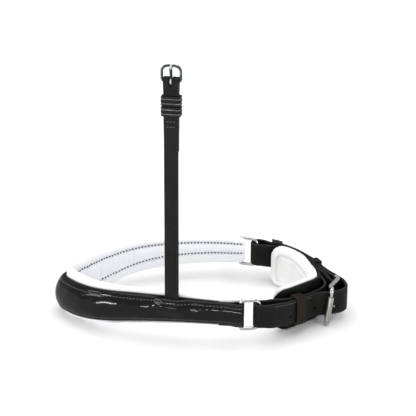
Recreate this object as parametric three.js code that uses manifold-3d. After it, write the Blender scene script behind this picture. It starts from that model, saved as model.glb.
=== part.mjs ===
// A padded cavesson noseband, standing on its lower edge as it does when it is laid out:
// a padded nosepiece with a raised glossy front, two dee rings, a chin strap that doubles
// back through both rings to a roller buckle, a jaw pad, and one cheek strap with its buckle.
// Millimetres, +Z up, the nose towards -X and the chin towards +X.
import * as THREE from "three";
import { mergeVertices } from "three/addons/utils/BufferGeometryUtils.js";
import Module from "manifold-3d";

const wasm = await Module();
wasm.setup();

// The loop, seen from above
const noseReach = 127.2;
const halfWidth = 65;
const chinLength = 57;
const ringHeight = 27.3;
const chinDroop = 7.5;
const clearance = 0.3;
const foamEase = 0.45;
const restCut = 0.5;
const overrun = 6;

// The nosepiece: lining and foam inside, backing leather, raised core and cover outside
const ringEdgeUp = 12.7;
const ringEdgeDown = 8.8;
const topRise = 2.7;
const noseLean = 6.5;
const backingThickness = 2.5;
const backingMargin = 0.5;
const liningThickness = 8.6;
const liningWall = 2.3;
const channelDepth = 1.1;
const channelWidth = 2.2;
const turnIn = 4.5;
const edgeTurn = 0.5;
const coverThickness = 1.2;
const topInset = 2;
const topInsetGain = 5.2;
const footInsetGain = 6.4;
const coverBulge = 4.2;
const coverBulgeAtRing = 2.4;
const endSpread = 2.2;
const endSpreadRun = 18;

// The ring chapes and the dee rings
const chapeLength = 20;
const chapeHeight = 21;
const ringWire = 3;
const ringInnerHeight = 22.6;
const ringReach = 16;
const ringCorner = 6;
const barInset = 2;
const nearRingTurn = 12;
const farRingTurn = 14;

// The chin strap and its keepers
const strapWidth = 21.5;
const strapThickness = 2.6;
const strapEdge = 0.7;
const nearFold = 4.5;
const farFold = 6.2;
const buckleBulge = 10.4;
const returnLength = 24;
const holeWidth = 3;
const holeLength = 4;
const tongueHoleLength = 7;
const holeSpacing = 17.5;
const holeCount = 3;
const nearKeeperLength = 12;
const farKeeperLength = 8;
const keeperWall = 1.5;
const keeperEase = 0.4;

// The jaw pad
const padHeight = 40;
const padThickness = 10;
const padCorner = 13;
const padSeamInset = 7.5;
const padSeamDepth = 1.6;
const padSeamWidth = 2.2;
const padBacking = 2;
const padBackingInset = 1.8;

// The chin buckle
const chinWire = 3.6;
const rollerDiameter = 5.2;
const rollerWall = 0.9;
const rollerLength = 23;
const rollerDrop = 4.1;
const rollerTilt = 3;
const tongueWire = 2.4;
const frameHump = 3.4;
const frameDip = 3;
const tongueEase = 0.8;

// The cheek strap and its buckle
const cheekPlace = 0.1655;
const cheekLean = 0.0075;
const cheekWidth = 11.4;
const cheekTopWidth = 12.2;
const cheekThickness = 2.4;
const cheekTuck = 17;
const cheekBarHeight = 225.8;
const cheekReturn = 58;
const cheekTaper = 30;
const cheekWire = 2.1;
const cheekFrameWidth = 17.1;
const cheekFrameRise = 13.6;
const cheekFrameDip = 1.7;
const cheekSlot = 3.2;
const cheekSlotDepth = 3.6;
const cheekTongueWire = 2.1;
const keeperTall = 7.4;
const keeperGapBelowBar = 11.8;
const keeperStep = 8.6;
const cheekKeeperWall = 1.5;

// The backing's line round the nose, from the near ring to the far ring: shares of
// noseReach and halfWidth
const nosePlanShares = [
  [0.211, -0.977],
  [0, -0.923],
  [-0.25, -0.838],
  [-0.469, -0.738],
  [-0.688, -0.608],
  [-0.828, -0.454],
  [-0.938, -0.246],
  [-1, -0.031],
  [-0.969, 0.154],
  [-0.891, 0.354],
  [-0.773, 0.585],
  [-0.57, 0.831],
  [-0.32, 0.954],
  [0, 1.02],
  [0.23, 1.005],
];

// The inner strap layer's line round the chin: shares of chinLength past the rings and of
// halfWidth, then the lift of the outer layer and of the jaw pad, in shares of buckleBulge
const chinPlanShares = [
  [0.088, -0.871, 0.6, 0.95],
  [0.175, -0.837, 0.5, 0.95],
  [0.316, -0.785, 0.33, 0.8],
  [0.421, -0.726, 0.12, 0.62],
  [0.496, -0.675, 0.03, 0.5],
  [0.67, -0.526, 0.03, 0.34],
  [0.816, -0.4, 0.08, 0.24],
  [0.921, -0.3, 0.72, 0.19],
  [0.986, -0.2, 1.44, 0.2],
  [0.998, -0.108, 1.38, 0.22],
  [0.97, 0.015, 1.1, 0.14],
  [0.923, 0.146, 0.84, 0.06],
  [0.86, 0.331, 0.58, 0.04],
  [0.795, 0.495, 0.53, 0.04],
  [0.702, 0.631, 0.51, 0.08],
  [0.561, 0.769, 0.51, 0.1],
  [0.439, 0.828, 0.51, 0.1],
  [0.316, 0.846, 0.55, 0.1],
  [0.175, 0.835, 0.85, 0.1],
];
// Places along that line, in shares of its spans
const barShare = 0.525;
const rollerShare = 0.389;
const tailEndShare = 0.92;
const padStartShare = 0.13;
const padEndShare = 0.945;
const nearKeeperShare = 0.26;
const farKeeperShare = 0.697;
const endKeeperShare = 0.892;

const up = new THREE.Vector3(0, 0, 1);
const smooth = (x) => THREE.MathUtils.smoothstep(x, 0, 1);
const shareSteps = (from, to, steps) =>
  Array.from({ length: steps + 1 }, (_, i) => THREE.MathUtils.lerp(from, to, i / steps));
const turned = (v, degrees) =>
  v.clone().applyAxisAngle(up, THREE.MathUtils.degToRad(degrees));

// One closed mesh from a loft through like sections, its faces turned outwards.
// Each frame has a centre and two axes, and each section lists points on those axes.
function loft(frames, sectionAt, closed = false) {
  const sections = frames.map((frame, i) => sectionAt(i, frame));
  const size = sections[0].length;
  const positions = [];
  frames.forEach((frame, i) => {
    for (const [u, v] of sections[i]) {
      const point = frame.centre.clone();
      point.addScaledVector(frame.across, u).addScaledVector(frame.along, v);
      positions.push(point.x, point.y, point.z);
    }
  });
  const index = [];
  const rings = closed ? frames.length : frames.length - 1;
  for (let i = 0; i < rings; i += 1) {
    const low = i * size;
    const high = ((i + 1) % frames.length) * size;
    for (let j = 0; j < size; j += 1) {
      const k = (j + 1) % size;
      index.push(low + j, low + k, high + k, low + j, high + k, high + j);
    }
  }
  if (!closed) {
    const last = (frames.length - 1) * size;
    for (const [a, b, c] of cap(sections[0])) index.push(c, b, a);
    for (const [a, b, c] of cap(sections[frames.length - 1]))
      index.push(last + a, last + b, last + c);
  }
  return facingOut(positions, index);
}

// Triangles that fill a section, wound the same way as its outline
function cap(section) {
  const outline = section.map(([u, v]) => new THREE.Vector2(u, v));
  const clockwise = THREE.ShapeUtils.isClockWise(outline);
  return THREE.ShapeUtils.triangulateShape(outline, []).map((face) => {
    const same = THREE.ShapeUtils.isClockWise(face.map((i) => outline[i])) === clockwise;
    return same ? face : face.slice().reverse();
  });
}

function facingOut(positions, index) {
  const corner = (i) => new THREE.Vector3().fromArray(positions, 3 * i);
  let volume = 0;
  for (let i = 0; i < index.length; i += 3) {
    const a = corner(index[i]);
    volume += a.dot(corner(index[i + 1]).cross(corner(index[i + 2])));
  }
  if (volume < 0) index.reverse();
  const geometry = new THREE.BufferGeometry();
  geometry.setAttribute("position", new THREE.Float32BufferAttribute(positions, 3));
  geometry.setIndex(index);
  return geometry;
}

function solid(geometry) {
  const plain = geometry.clone();
  plain.deleteAttribute("normal");
  plain.deleteAttribute("uv");
  const merged = mergeVertices(plain, 1e-4);
  return new wasm.Manifold(
    new wasm.Mesh({
      numProp: 3,
      vertProperties: new Float32Array(merged.attributes.position.array),
      triVerts: new Uint32Array(merged.index.array),
    }),
  );
}

// The first geometry with all the others cut out of it
function cut(geometry, ...tools) {
  const result = tools.reduce((left, tool) => left.subtract(solid(tool)), solid(geometry));
  const mesh = result.getMesh();
  const shape = new THREE.BufferGeometry();
  shape.setAttribute("position", new THREE.BufferAttribute(mesh.vertProperties, 3));
  shape.setIndex(new THREE.BufferAttribute(mesh.triVerts, 1));
  return shape;
}

// A box with its centre at a point, turned so that its first side runs along a direction
function blockAt(centre, direction, length, depth, height) {
  const box = new THREE.BoxGeometry(length, depth, height);
  box.rotateZ(Math.atan2(direction.y, direction.x));
  box.translate(centre.x, centre.y, centre.z);
  return box;
}

// Everything below the surface that the noseband rests on
function floorBlock() {
  const side = 2 * (noseReach + chinLength + halfWidth);
  const box = new THREE.BoxGeometry(side, side, overrun);
  box.translate(0, 0, -overrun / 2);
  return box;
}

// Frames of an upright band: each has its centre, its outward axis, +Z, and its distance
function bandFrames(points, outwardSign) {
  const frames = points.map((point, i) => {
    const ahead = points[Math.min(i + 1, points.length - 1)];
    const behind = points[Math.max(i - 1, 0)];
    const tangent = ahead.clone().sub(behind).normalize();
    const across = new THREE.Vector3(-tangent.y, tangent.x, 0).multiplyScalar(outwardSign);
    return { centre: point, across, along: up, tangent, distance: 0 };
  });
  for (let i = 1; i < frames.length; i += 1)
    frames[i].distance = frames[i - 1].distance + points[i].distanceTo(points[i - 1]);
  return frames;
}

// A point beside a frame: so far outwards from it, at a height
function beside(frame, out, height = 0) {
  const point = frame.centre.clone().addScaledVector(frame.across, out);
  point.z = height;
  return point;
}

// The frame of an evenly spaced run that lies at a share of its length
function frameAt(frames, share) {
  const place = share * (frames.length - 1);
  const low = Math.min(Math.floor(place), frames.length - 2);
  const mix = place - low;
  const [a, b] = [frames[low], frames[low + 1]];
  return {
    centre: a.centre.clone().lerp(b.centre, mix),
    across: a.across.clone().lerp(b.across, mix).normalize(),
    tangent: a.tangent.clone().lerp(b.tangent, mix).normalize(),
    along: up,
    distance: THREE.MathUtils.lerp(a.distance, b.distance, mix),
  };
}

// A round wire along a path whose frames come from a fixed side direction
function wire(points, side, radiusAt, closed, sides = 8) {
  const count = points.length;
  const frames = points.map((point, i) => {
    const ahead = closed ? points[(i + 1) % count] : points[Math.min(i + 1, count - 1)];
    const behind = closed ? points[(i + count - 1) % count] : points[Math.max(i - 1, 0)];
    const tangent = ahead.clone().sub(behind).normalize();
    const across = side.clone().addScaledVector(tangent, -side.dot(tangent)).normalize();
    return { centre: point, across, along: tangent.clone().cross(across) };
  });
  const section = (i) =>
    Array.from({ length: sides }, (_, j) => {
      const angle = (2 * Math.PI * (j + 0.5)) / sides;
      return [radiusAt(i) * Math.cos(angle), radiusAt(i) * Math.sin(angle)];
    });
  return loft(frames, section, closed);
}

const group = new THREE.Group();
function piece(name, geometry, colour, roughness, metalness = 0) {
  const material = new THREE.MeshStandardMaterial({ color: colour, roughness, metalness });
  const mesh = new THREE.Mesh(geometry, material);
  mesh.name = name;
  group.add(mesh);
  return mesh;
}

// The nosepiece's line and its changing height

const noseSteps = 46;
const endSteps = 5;
const fineSteps = 240;
const noseLine = new THREE.CatmullRomCurve3(
  nosePlanShares.map(([x, y]) => new THREE.Vector3(x * noseReach, y * halfWidth, 0)),
  false,
  "centripetal",
);
const noseFine = bandFrames(noseLine.getSpacedPoints(fineSteps), 1);
const noseLength = noseFine[fineSteps].distance;

const noseWave = (distance) => Math.sin((Math.PI * distance) / noseLength);
function noseTop(distance) {
  const wave = noseWave(distance);
  return ringHeight + ringEdgeUp + topRise * (1 - (1 - wave ** 2) ** 4);
}
function noseBottom(distance) {
  const ringBottom = ringHeight - ringEdgeDown;
  return ringBottom - (ringBottom + restCut) * Math.abs(noseWave(distance)) ** 3.9;
}
function noseMiddle(distance) {
  return (noseTop(distance) + noseBottom(distance)) / 2;
}
// How far the band leans out below its middle, which it does most at the nose
function noseLeanOut(distance, height) {
  const slope = Math.tan(THREE.MathUtils.degToRad(noseLean)) * noseWave(distance) ** 4;
  return slope * (noseMiddle(distance) - height);
}
// The layers part at each end, to let the ring's bar and its chape lie between them
function noseSpread(distance) {
  const toEnd = Math.min(distance, noseLength - distance);
  return endSpread * smooth(1 - toEnd / endSpreadRun);
}
// The cover's edges lie inside the lining's, by more at the nose
const coverHigh = (distance) =>
  noseTop(distance) - topInset - topInsetGain * noseWave(distance) ** 4;
const coverLow = (distance) =>
  noseBottom(distance) + footInsetGain * Math.abs(noseWave(distance)) ** 5;
const coverHalf = (distance) => (coverHigh(distance) - coverLow(distance)) / 2;
const coverMiddle = (distance) => (coverHigh(distance) + coverLow(distance)) / 2;

const noseAt = (distance) => frameAt(noseFine, distance / noseLength);

// One set of frames serves every layer, so that the layers lie parallel: the layers that
// stop short of the rings leave out the end ones
const backingStart = chapeLength + clearance;
const noseFrames = [
  ...shareSteps(0, backingStart, endSteps).slice(0, -1),
  ...shareSteps(backingStart, noseLength - backingStart, noseSteps),
  ...shareSteps(noseLength - backingStart, noseLength, endSteps).slice(1),
].map(noseAt);

// The frames between the chapes, drawn in by an inset at each end
function innerNoseFrames(inset) {
  const frames = noseFrames.slice(endSteps, -endSteps);
  frames[0] = noseAt(backingStart + inset);
  frames[frames.length - 1] = noseAt(noseLength - backingStart - inset);
  return frames;
}

// A point of a nosepiece section, with the lean added
function leaned(frame, out, height) {
  return [out + noseLeanOut(frame.distance, height), height];
}

const sewnShares = [-0.46, 0.46];
const liningInnerShares = [
  -0.985, -0.92, -0.78, -0.6, -0.46, -0.32, 0, 0.32, 0.46, 0.6, 0.78, 0.92, 0.985,
];
const liningOuterShares = [0.92, 0.78, -0.78, -0.92];

// The padded roll: round edges, a flat back against the backing, two sewn channels inside
function liningSection(frame) {
  const half = (noseTop(frame.distance) - noseBottom(frame.distance)) / 2;
  const middle = noseMiddle(frame.distance);
  const back = -backingThickness / 2 - clearance - noseSpread(frame.distance);
  const belly = liningThickness / 2;
  const roundness = (share) => Math.sqrt(1 - Math.abs(share) ** 6);
  const centre = (share) => back - belly * (1 - edgeTurn * share ** 4);
  const channel = (share) =>
    sewnShares.reduce((deep, sewn) => {
      const away = ((share - sewn) * half) / channelWidth;
      return deep + channelDepth * Math.exp(-away * away);
    }, 0);
  const inner = liningInnerShares.map((share) =>
    leaned(
      frame,
      centre(share) - belly * roundness(share) + channel(share),
      middle + share * half,
    ),
  );
  const outer = liningOuterShares.map((share) =>
    leaned(
      frame,
      Math.min(centre(share) + belly * roundness(share), back),
      middle + share * half,
    ),
  );
  const edge = (sign) => leaned(frame, centre(sign), middle + sign * half);
  return [edge(-1), ...inner, edge(1), ...outer];
}

// The space inside the lining, open towards the backing between the turned-in edges
function liningHollow(inset, mouth) {
  return loft(innerNoseFrames(inset), (i, frame) => {
    const half = (noseTop(frame.distance) - noseBottom(frame.distance)) / 2;
    const middle = noseMiddle(frame.distance);
    const back = -backingThickness / 2 - clearance;
    const deep = back - liningThickness + liningWall + channelDepth / 2 + inset;
    const reach = half - liningWall - inset;
    const lip = half - turnIn - inset;
    const outer = back + mouth;
    const belly = back - (liningThickness - liningWall) / 2;
    const shallow = back - liningWall / 2 - inset;
    return [
      leaned(frame, outer, middle - lip),
      leaned(frame, shallow, middle - lip),
      leaned(frame, belly, middle - reach),
      leaned(frame, deep, middle - lip),
      leaned(frame, deep, middle + lip),
      leaned(frame, belly, middle + reach),
      leaned(frame, shallow, middle + lip),
      leaned(frame, outer, middle + lip),
    ];
  });
}

function noseLining() {
  const roll = loft(noseFrames, (i, frame) => liningSection(frame));
  return cut(roll, liningHollow(0, overrun), floorBlock());
}

function noseFoam() {
  return liningHollow(foamEase, -clearance);
}

function noseBacking() {
  return loft(innerNoseFrames(0), (i, frame) => {
    const half = coverHalf(frame.distance) + backingMargin;
    const middle = coverMiddle(frame.distance);
    const out = backingThickness / 2;
    return [
      leaned(frame, -out, middle - half),
      leaned(frame, out, middle - half),
      leaned(frame, out, middle + half),
      leaned(frame, -out, middle + half),
    ];
  });
}

// How far the cover's inner face stands off the backing, at a share of its half height
function coverStand(frame, share) {
  const toEnd = Math.min(frame.distance, noseLength - frame.distance);
  const fullness = smooth(toEnd / (3 * endSpreadRun));
  const bulge = THREE.MathUtils.lerp(coverBulgeAtRing, coverBulge, fullness);
  const fromCheek = (frame.distance - cheekPlace * noseLength) / cheekWidth;
  const lift = (cheekThickness + 3 * clearance) * Math.exp(-(fromCheek ** 4));
  return (
    noseSpread(frame.distance) +
    bulge * (1 - Math.abs(share) ** 2.2) +
    lift * smooth(share + 0.45)
  );
}

const coverShares = [-1, -0.86, -0.62, -0.32, 0, 0.32, 0.62, 0.86, 1];
const coreShares = [-0.86, -0.62, -0.32, 0, 0.32, 0.62, 0.86];

function coverBack() {
  return backingThickness / 2 + clearance;
}

function noseCover() {
  return loft(noseFrames, (i, frame) => {
    const middle = coverMiddle(frame.distance);
    const half = coverHalf(frame.distance);
    const face = (thickness) => (share) =>
      leaned(
        frame,
        coverBack() + coverStand(frame, share) + thickness,
        middle + share * half,
      );
    const inner = coverShares.map(face(0));
    const outer = coverShares.map(face(coverThickness));
    return [...inner, ...outer.reverse()];
  });
}

// The raised core under the cover, with a pocket cut for the end of the cheek strap
function noseCore() {
  const core = loft(innerNoseFrames(0), (i, frame) => {
    const middle = coverMiddle(frame.distance);
    const half = coverHalf(frame.distance);
    const flat = coverBack();
    const crown = coreShares.map((share) =>
      leaned(
        frame,
        flat + coverStand(frame, share) - clearance,
        middle + share * half,
      ),
    );
    const [low, high] = [coreShares[0], coreShares[coreShares.length - 1]];
    return [
      leaned(frame, flat, middle + low * half),
      ...crown,
      leaned(frame, flat, middle + high * half),
    ];
  });
  const frame = cheekFrame();
  const top = noseTop(frame.distance) + overrun;
  const bottom = cheekBottom() - clearance;
  const depth = 2 * (cheekThickness + coverBulge);
  const pocket = blockAt(
    beside(frame, coverBack() + depth / 2 - clearance, (top + bottom) / 2),
    frame.tangent,
    cheekWidth + 2 * keeperEase,
    depth,
    top - bottom,
  );
  return cut(core, pocket);
}

function cheekFrame() {
  return noseAt(cheekPlace * noseLength);
}
function cheekBottom() {
  const distance = cheekPlace * noseLength;
  return coverHigh(distance) - cheekTuck;
}

piece("nose_lining", noseLining(), 0xf1f1f4, 0.55);
piece("nose_foam", noseFoam(), 0xe6e2d6, 0.9);
piece("nose_backing", noseBacking(), 0x17181a, 0.55);
piece("nose_raised_core", noseCore(), 0x55504a, 0.9);
piece("nose_patent_cover", noseCover(), 0x0d0d10, 0.12);

// The dee rings, and the folded chapes that hold them to the nosepiece

// A ring's bar and bow, and which way it points, at one end of the nosepiece
function ringPlace(far) {
  const frame = noseAt(far ? noseLength - barInset : barInset);
  const away = frame.tangent.clone().multiplyScalar(far ? 1 : -1);
  const heading = turned(away, far ? -farRingTurn : nearRingTurn);
  const bow = frame.centre.clone().addScaledVector(heading, ringReach);
  return { bar: frame.centre.clone(), bow, heading, away, far };
}
const nearRing = ringPlace(false);
const farRing = ringPlace(true);

function deeRing({ bar, heading }) {
  const half = (ringInnerHeight + ringWire) / 2;
  const barCorner = ringWire / 2;
  const point = (along, height) => {
    const place = bar.clone().addScaledVector(heading, along);
    place.z = ringHeight + height;
    return place;
  };
  const arc = (centreAlong, centreHeight, radius, from, to, steps) =>
    Array.from({ length: steps + 1 }, (_, i) => {
      const angle = THREE.MathUtils.degToRad(from + ((to - from) * i) / steps);
      return point(
        centreAlong + radius * Math.cos(angle),
        centreHeight + radius * Math.sin(angle),
      );
    });
  const bend = ringReach - ringCorner;
  const path = [
    ...arc(bend, half - ringCorner, ringCorner, 0, 90, 6),
    ...arc(barCorner, half - barCorner, barCorner, 90, 180, 3),
    ...arc(barCorner, barCorner - half, barCorner, 180, 270, 3),
    ...arc(bend, ringCorner - half, ringCorner, 270, 360, 6),
  ];
  const side = new THREE.Vector3(-heading.y, heading.x, 0);
  return wire(path, side, () => ringWire / 2, true, 10);
}

// Two plies that lie together in the backing's place and open round the ring's bar
function ringChape({ bar, away, far }) {
  const chapeThickness = (backingThickness - clearance) / 2;
  const ply = (chapeThickness + clearance) / 2;
  const loopRadius = ringWire / 2 + clearance + chapeThickness / 2;
  const lengths = [chapeLength - barInset, chapeLength / 2, loopRadius * 2.6, loopRadius * 1.6];
  const outs = [ply, ply, ply + (loopRadius - ply) * 0.35, loopRadius * 0.86];
  const sign = far ? 1 : -1;
  const run = (side) =>
    lengths.map((length, i) => {
      const distance = barInset + length;
      const frame = noseAt(far ? noseLength - distance : distance);
      return beside(frame, side * outs[i]);
    });
  const loop = Array.from({ length: 11 }, (_, i) => {
    const angle = sign * THREE.MathUtils.lerp(110, -110, i / 10);
    return bar.clone().addScaledVector(turned(away, angle), loopRadius);
  });
  const frames = bandFrames([...run(1), ...loop, ...run(-1).reverse()], 1);
  const out = chapeThickness / 2;
  const half = chapeHeight / 2;
  return loft(frames, () => [
    [-out, ringHeight - half],
    [out, ringHeight - half],
    [out, ringHeight + half],
    [-out, ringHeight + half],
  ]);
}

for (const place of [nearRing, farRing]) {
  const side = place.far ? "far" : "near";
  piece(side + "_ring_chape", ringChape(place), 0x17181a, 0.5);
  piece(side + "_dee_ring", deeRing(place), 0xc9cbd0, 0.2, 1);
}

// The chin strap: one length of leather from its fold on the buckle's bar, along the far
// side, through the far ring, round the chin, through the near ring and to the buckle again

const pitch = strapThickness + clearance;
// The ring's rounded corners come back towards its bar, and the strap's edges meet them
const cornerReach = strapWidth / 2 - strapEdge - (ringInnerHeight + ringWire) / 2 + ringCorner;
const cornerReturn = ringCorner - Math.sqrt(ringCorner ** 2 - cornerReach ** 2);
const foldGap = strapThickness / 2 + 2 * keeperEase + ringWire / 2 + cornerReturn;
const foldRadius = (far) => (far ? farFold : nearFold);
function foldCentre(place) {
  return place.bow.clone().addScaledVector(place.heading, foldRadius(place.far) - foldGap);
}
// A point of a fold round a ring: -90 is its inner layer, 0 its tip and 90 its outer layer
function foldPoint(place, angle) {
  const sign = place.far ? -1 : 1;
  const spoke = turned(place.heading, 180 + sign * angle);
  return foldCentre(place).addScaledVector(spoke, foldRadius(place.far));
}

const ringsX = (nearRing.bow.x + farRing.bow.x) / 2;
const chinRows = [
  [foldPoint(nearRing, -90), 0, buckleBulge],
  ...chinPlanShares.map(([x, y, lift, pad]) => [
    new THREE.Vector3(ringsX + x * chinLength, y * halfWidth, 0),
    lift * buckleBulge,
    pad * buckleBulge,
  ]),
  [foldPoint(farRing, -90), 0, buckleBulge],
];
chinRows[0][1] = 2 * nearFold - pitch;
chinRows[chinRows.length - 1][1] = 2 * farFold - pitch;
const chinLine = new THREE.CatmullRomCurve3(
  chinRows.map(([point]) => point),
  false,
  "centripetal",
);
const chinLifts = new THREE.CatmullRomCurve3(
  chinRows.map(([, lift, pad]) => new THREE.Vector3(lift, pad, 0)),
  false,
  "catmullrom",
  0.5,
);

// The frame of the inner layer at a share of its line
function chinFrame(share) {
  const tangent = chinLine.getTangent(share).setZ(0).normalize();
  const across = new THREE.Vector3(tangent.y, -tangent.x, 0);
  return { centre: chinLine.getPoint(share), across, tangent, along: up };
}
const outerLift = (share) => pitch + chinLifts.getPoint(share).x;
const padLift = (share) => chinLifts.getPoint(share).y;
const strapMiddle = (x) =>
  ringHeight - chinDroop * smooth((x - ringsX) / (chinLength * 0.92));

const loopRadius = chinWire / 2 + keeperEase + strapThickness / 2;
// The chape ply lies under the tail as far as the tail goes, then swings out to the ring
function chapeLift(share) {
  const released = smooth((share - tailEndShare) / (1 - tailEndShare));
  return outerLift(share) - pitch * (1 - released);
}
// The chape ply's own frame, whose axes follow that ply and not the inner layer
function chapeFrame(share) {
  const step = 1 / fineSteps;
  const at = (place) => beside(chinFrame(place), chapeLift(place));
  const tangent = at(share + step).sub(at(share - step)).normalize();
  const across = new THREE.Vector3(tangent.y, -tangent.x, 0);
  return { centre: at(share), across, tangent, along: up };
}
const barFrame = chapeFrame(barShare);
const barCentre = beside(barFrame, -loopRadius);

// The outer layer's stations, closer together where it bends round the buckle
const tailShares = [
  ...shareSteps(0, 0.35, 18),
  ...shareSteps(0.35, 0.57, 28).slice(1),
  ...shareSteps(0.57, tailEndShare, 16).slice(1),
];

function strapPoints() {
  const barAngles = shareSteps(165, 15, 6);
  const barLoop = barAngles.map((angle) =>
    barCentre.clone().addScaledVector(turned(barFrame.across, -angle), loopRadius),
  );
  const returnEnd = barShare + returnLength / chinLine.getLength();
  const returnPly = shareSteps(returnEnd, barShare + 0.02, 7).map((share) => {
    const opened = 1 - smooth((share - barShare) / (returnEnd - barShare) * 1.6);
    const drop = THREE.MathUtils.lerp(pitch, 2 * loopRadius, opened);
    return beside(chapeFrame(share), -drop);
  });
  const chapePly = shareSteps(barShare + 0.015, 1, 26).map((share) =>
    beside(chinFrame(share), chapeLift(share)),
  );
  const inner = shareSteps(1, 0, 46).map((share) => beside(chinFrame(share), 0));
  const outer = tailShares.map((share) => beside(chinFrame(share), outerLift(share)));
  const fold = (place, from, to) =>
    shareSteps(from, to, 8)
      .slice(1, -1)
      .map((angle) => foldPoint(place, angle));
  return [
    ...returnPly,
    ...barLoop,
    ...chapePly,
    ...fold(farRing, 90, -90),
    ...inner,
    ...fold(nearRing, -90, 90),
    ...outer,
  ];
}

// A strap section with its edges taken off, standing upright at the strap's own height
function strapSection(frame) {
  const out = strapThickness / 2;
  const middle = strapMiddle(frame.centre.x);
  const half = strapWidth / 2;
  return [
    [-out, middle - half + strapEdge],
    [0, middle - half],
    [out, middle - half + strapEdge],
    [out, middle + half - strapEdge],
    [0, middle + half],
    [-out, middle + half - strapEdge],
  ];
}

const tailFrames = bandFrames(
  shareSteps(0, tailEndShare, fineSteps).map((share) =>
    beside(chinFrame(share), outerLift(share)),
  ),
  -1,
);
const tailAt = (share) => frameAt(tailFrames, share / tailEndShare);
const rollerFrame = tailAt(rollerShare);
const rollerCentre = beside(
  rollerFrame,
  strapThickness / 2 + clearance + rollerDiameter / 2,
  strapMiddle(rollerFrame.centre.x) - rollerDrop,
);
const tongueHeight = strapMiddle(barCentre.x) - rollerDrop * 0.7;

// An oval hole through the strap at a frame
function strapHole(frame, height, length) {
  const shape = new THREE.Shape();
  const straight = (length - holeWidth) / 2;
  shape.absarc(straight, 0, holeWidth / 2, -Math.PI / 2, Math.PI / 2, false);
  shape.absarc(-straight, 0, holeWidth / 2, Math.PI / 2, 1.5 * Math.PI, false);
  const depth = 2 * strapThickness;
  const hole = new THREE.ExtrudeGeometry(shape, {
    depth,
    bevelEnabled: false,
    curveSegments: 5,
  });
  hole.translate(0, 0, -depth / 2);
  hole.rotateX(Math.PI / 2);
  hole.rotateZ(Math.atan2(frame.tangent.y, frame.tangent.x));
  hole.translate(frame.centre.x, frame.centre.y, height);
  return hole;
}

// The two ends of the chin tongue: its eye round the bar, and its tip against the roller
const rollerLean = rollerFrame.tangent
  .clone()
  .multiplyScalar(rollerTilt)
  .setZ(rollerLength)
  .normalize();
function onRoller(height) {
  return rollerCentre.clone().addScaledVector(rollerLean, height);
}
const tongueEye = barCentre.clone().setZ(tongueHeight);
const tongueEyeBore = chinWire / 2 + clearance;
const tongueTip = onRoller((tongueHeight - rollerCentre.z) / rollerLean.z)
  .addScaledVector(barFrame.across, rollerDiameter / 2 + tongueEase + tongueWire / 2)
  .setZ(tongueHeight);

// The share of the outer layer's line where the tongue passes through it
function tongueCrossing() {
  const along = tongueTip.clone().sub(tongueEye).normalize();
  const away = (share) => {
    const from = tailAt(share).centre.sub(tongueEye).setZ(0);
    return from.addScaledVector(along, -from.dot(along)).length();
  };
  const shares = shareSteps(rollerShare, barShare, fineSteps);
  return shares.reduce((best, share) => (away(share) < away(best) ? share : best));
}

function chinStrap() {
  const strap = loft(bandFrames(strapPoints(), 1), (i, frame) => strapSection(frame));
  const crossing = tongueCrossing();
  const holes = [strapHole(tailAt(crossing), tongueHeight, tongueHoleLength)];
  const tailLength = tailFrames[tailFrames.length - 1].distance;
  for (let i = 1; i <= holeCount; i += 1) {
    const back = (i * holeSpacing * tailEndShare) / tailLength;
    const frame = tailAt(crossing - back);
    const drop = tongueHeight - strapMiddle(tongueTip.x);
    holes.push(strapHole(frame, strapMiddle(frame.centre.x) + drop, holeLength));
  }
  const eyeSize = 2 * (tongueEyeBore + tongueWire + clearance);
  const slotHeight = tongueWire + 4 * clearance;
  const slot = blockAt(tongueEye, barFrame.tangent, eyeSize, eyeSize, slotHeight);
  return cut(strap, slot, ...holes);
}

piece("chin_strap", chinStrap(), 0x1b1c1e, 0.6);

// The chin buckle: a cranked wire frame, a roller on its front bar and a tongue

// The rounded corner of a closed path of straight runs, cut back so far along each run
function roundedCorner(corners, i, cutBack, steps) {
  const corner = corners[i];
  const pull = (other) => {
    const run = other.clone().sub(corner);
    const reach = Math.min(cutBack, run.length() / 2 - clearance / 2);
    return corner.clone().addScaledVector(run.normalize(), reach);
  };
  const before = pull(corners.at(i - 1));
  const after = pull(corners[(i + 1) % corners.length]);
  return new THREE.QuadraticBezierCurve3(before, corner, after).getPoints(steps);
}

// The frame: a bar inside the strap's fold, cranked sides that pass over and under the
// strap, and a thinner front bar that carries the roller
function chinFrameWire() {
  const half = strapWidth / 2 + 2 * keeperEase + chinWire / 2;
  const middle = strapMiddle(barCentre.x);
  const turnRoom = chinWire / 2 + clearance / 2;
  const rollerEnd = rollerLength / 2 + clearance;
  const side = (sign) => {
    const z = middle + sign * half;
    const end = onRoller(sign * (rollerEnd + turnRoom));
    const at = (share, out) =>
      barCentre.clone().lerp(end, share).addScaledVector(barFrame.across, out).setZ(z);
    return [
      at(0, 0),
      at(0.14, frameHump),
      at(0.32, frameHump),
      at(0.52, 0),
      at(0.71, -frameDip),
      at(0.84, 0).setZ(sign > 0 ? z : end.z),
      end.setZ(sign > 0 ? z : end.z),
    ];
  };
  const upper = side(1);
  const corners = [...upper, ...side(-1).reverse()];
  const thin = (place) => ({ point: onRoller(place), thin: true });
  const rollerRun = [rollerEnd, rollerEnd / 2, -rollerEnd / 2, -rollerEnd].map(thin);
  const path = corners.flatMap((corner, i) => {
    const byRoller = i === upper.length - 1 || i === upper.length;
    const cutBack = byRoller ? turnRoom - clearance / 2 : 2 * chinWire;
    const bend = roundedCorner(corners, i, cutBack, 4).map((point) => ({ point }));
    return i === upper.length - 1 ? [...bend, ...rollerRun] : bend;
  });
  const core = rollerDiameter / 2 - rollerWall - clearance;
  const points = path.map(({ point }) => point);
  const radius = (i) => (path[i].thin ? core : chinWire / 2);
  return wire(points, rollerFrame.tangent, radius, true, 8);
}

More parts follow.
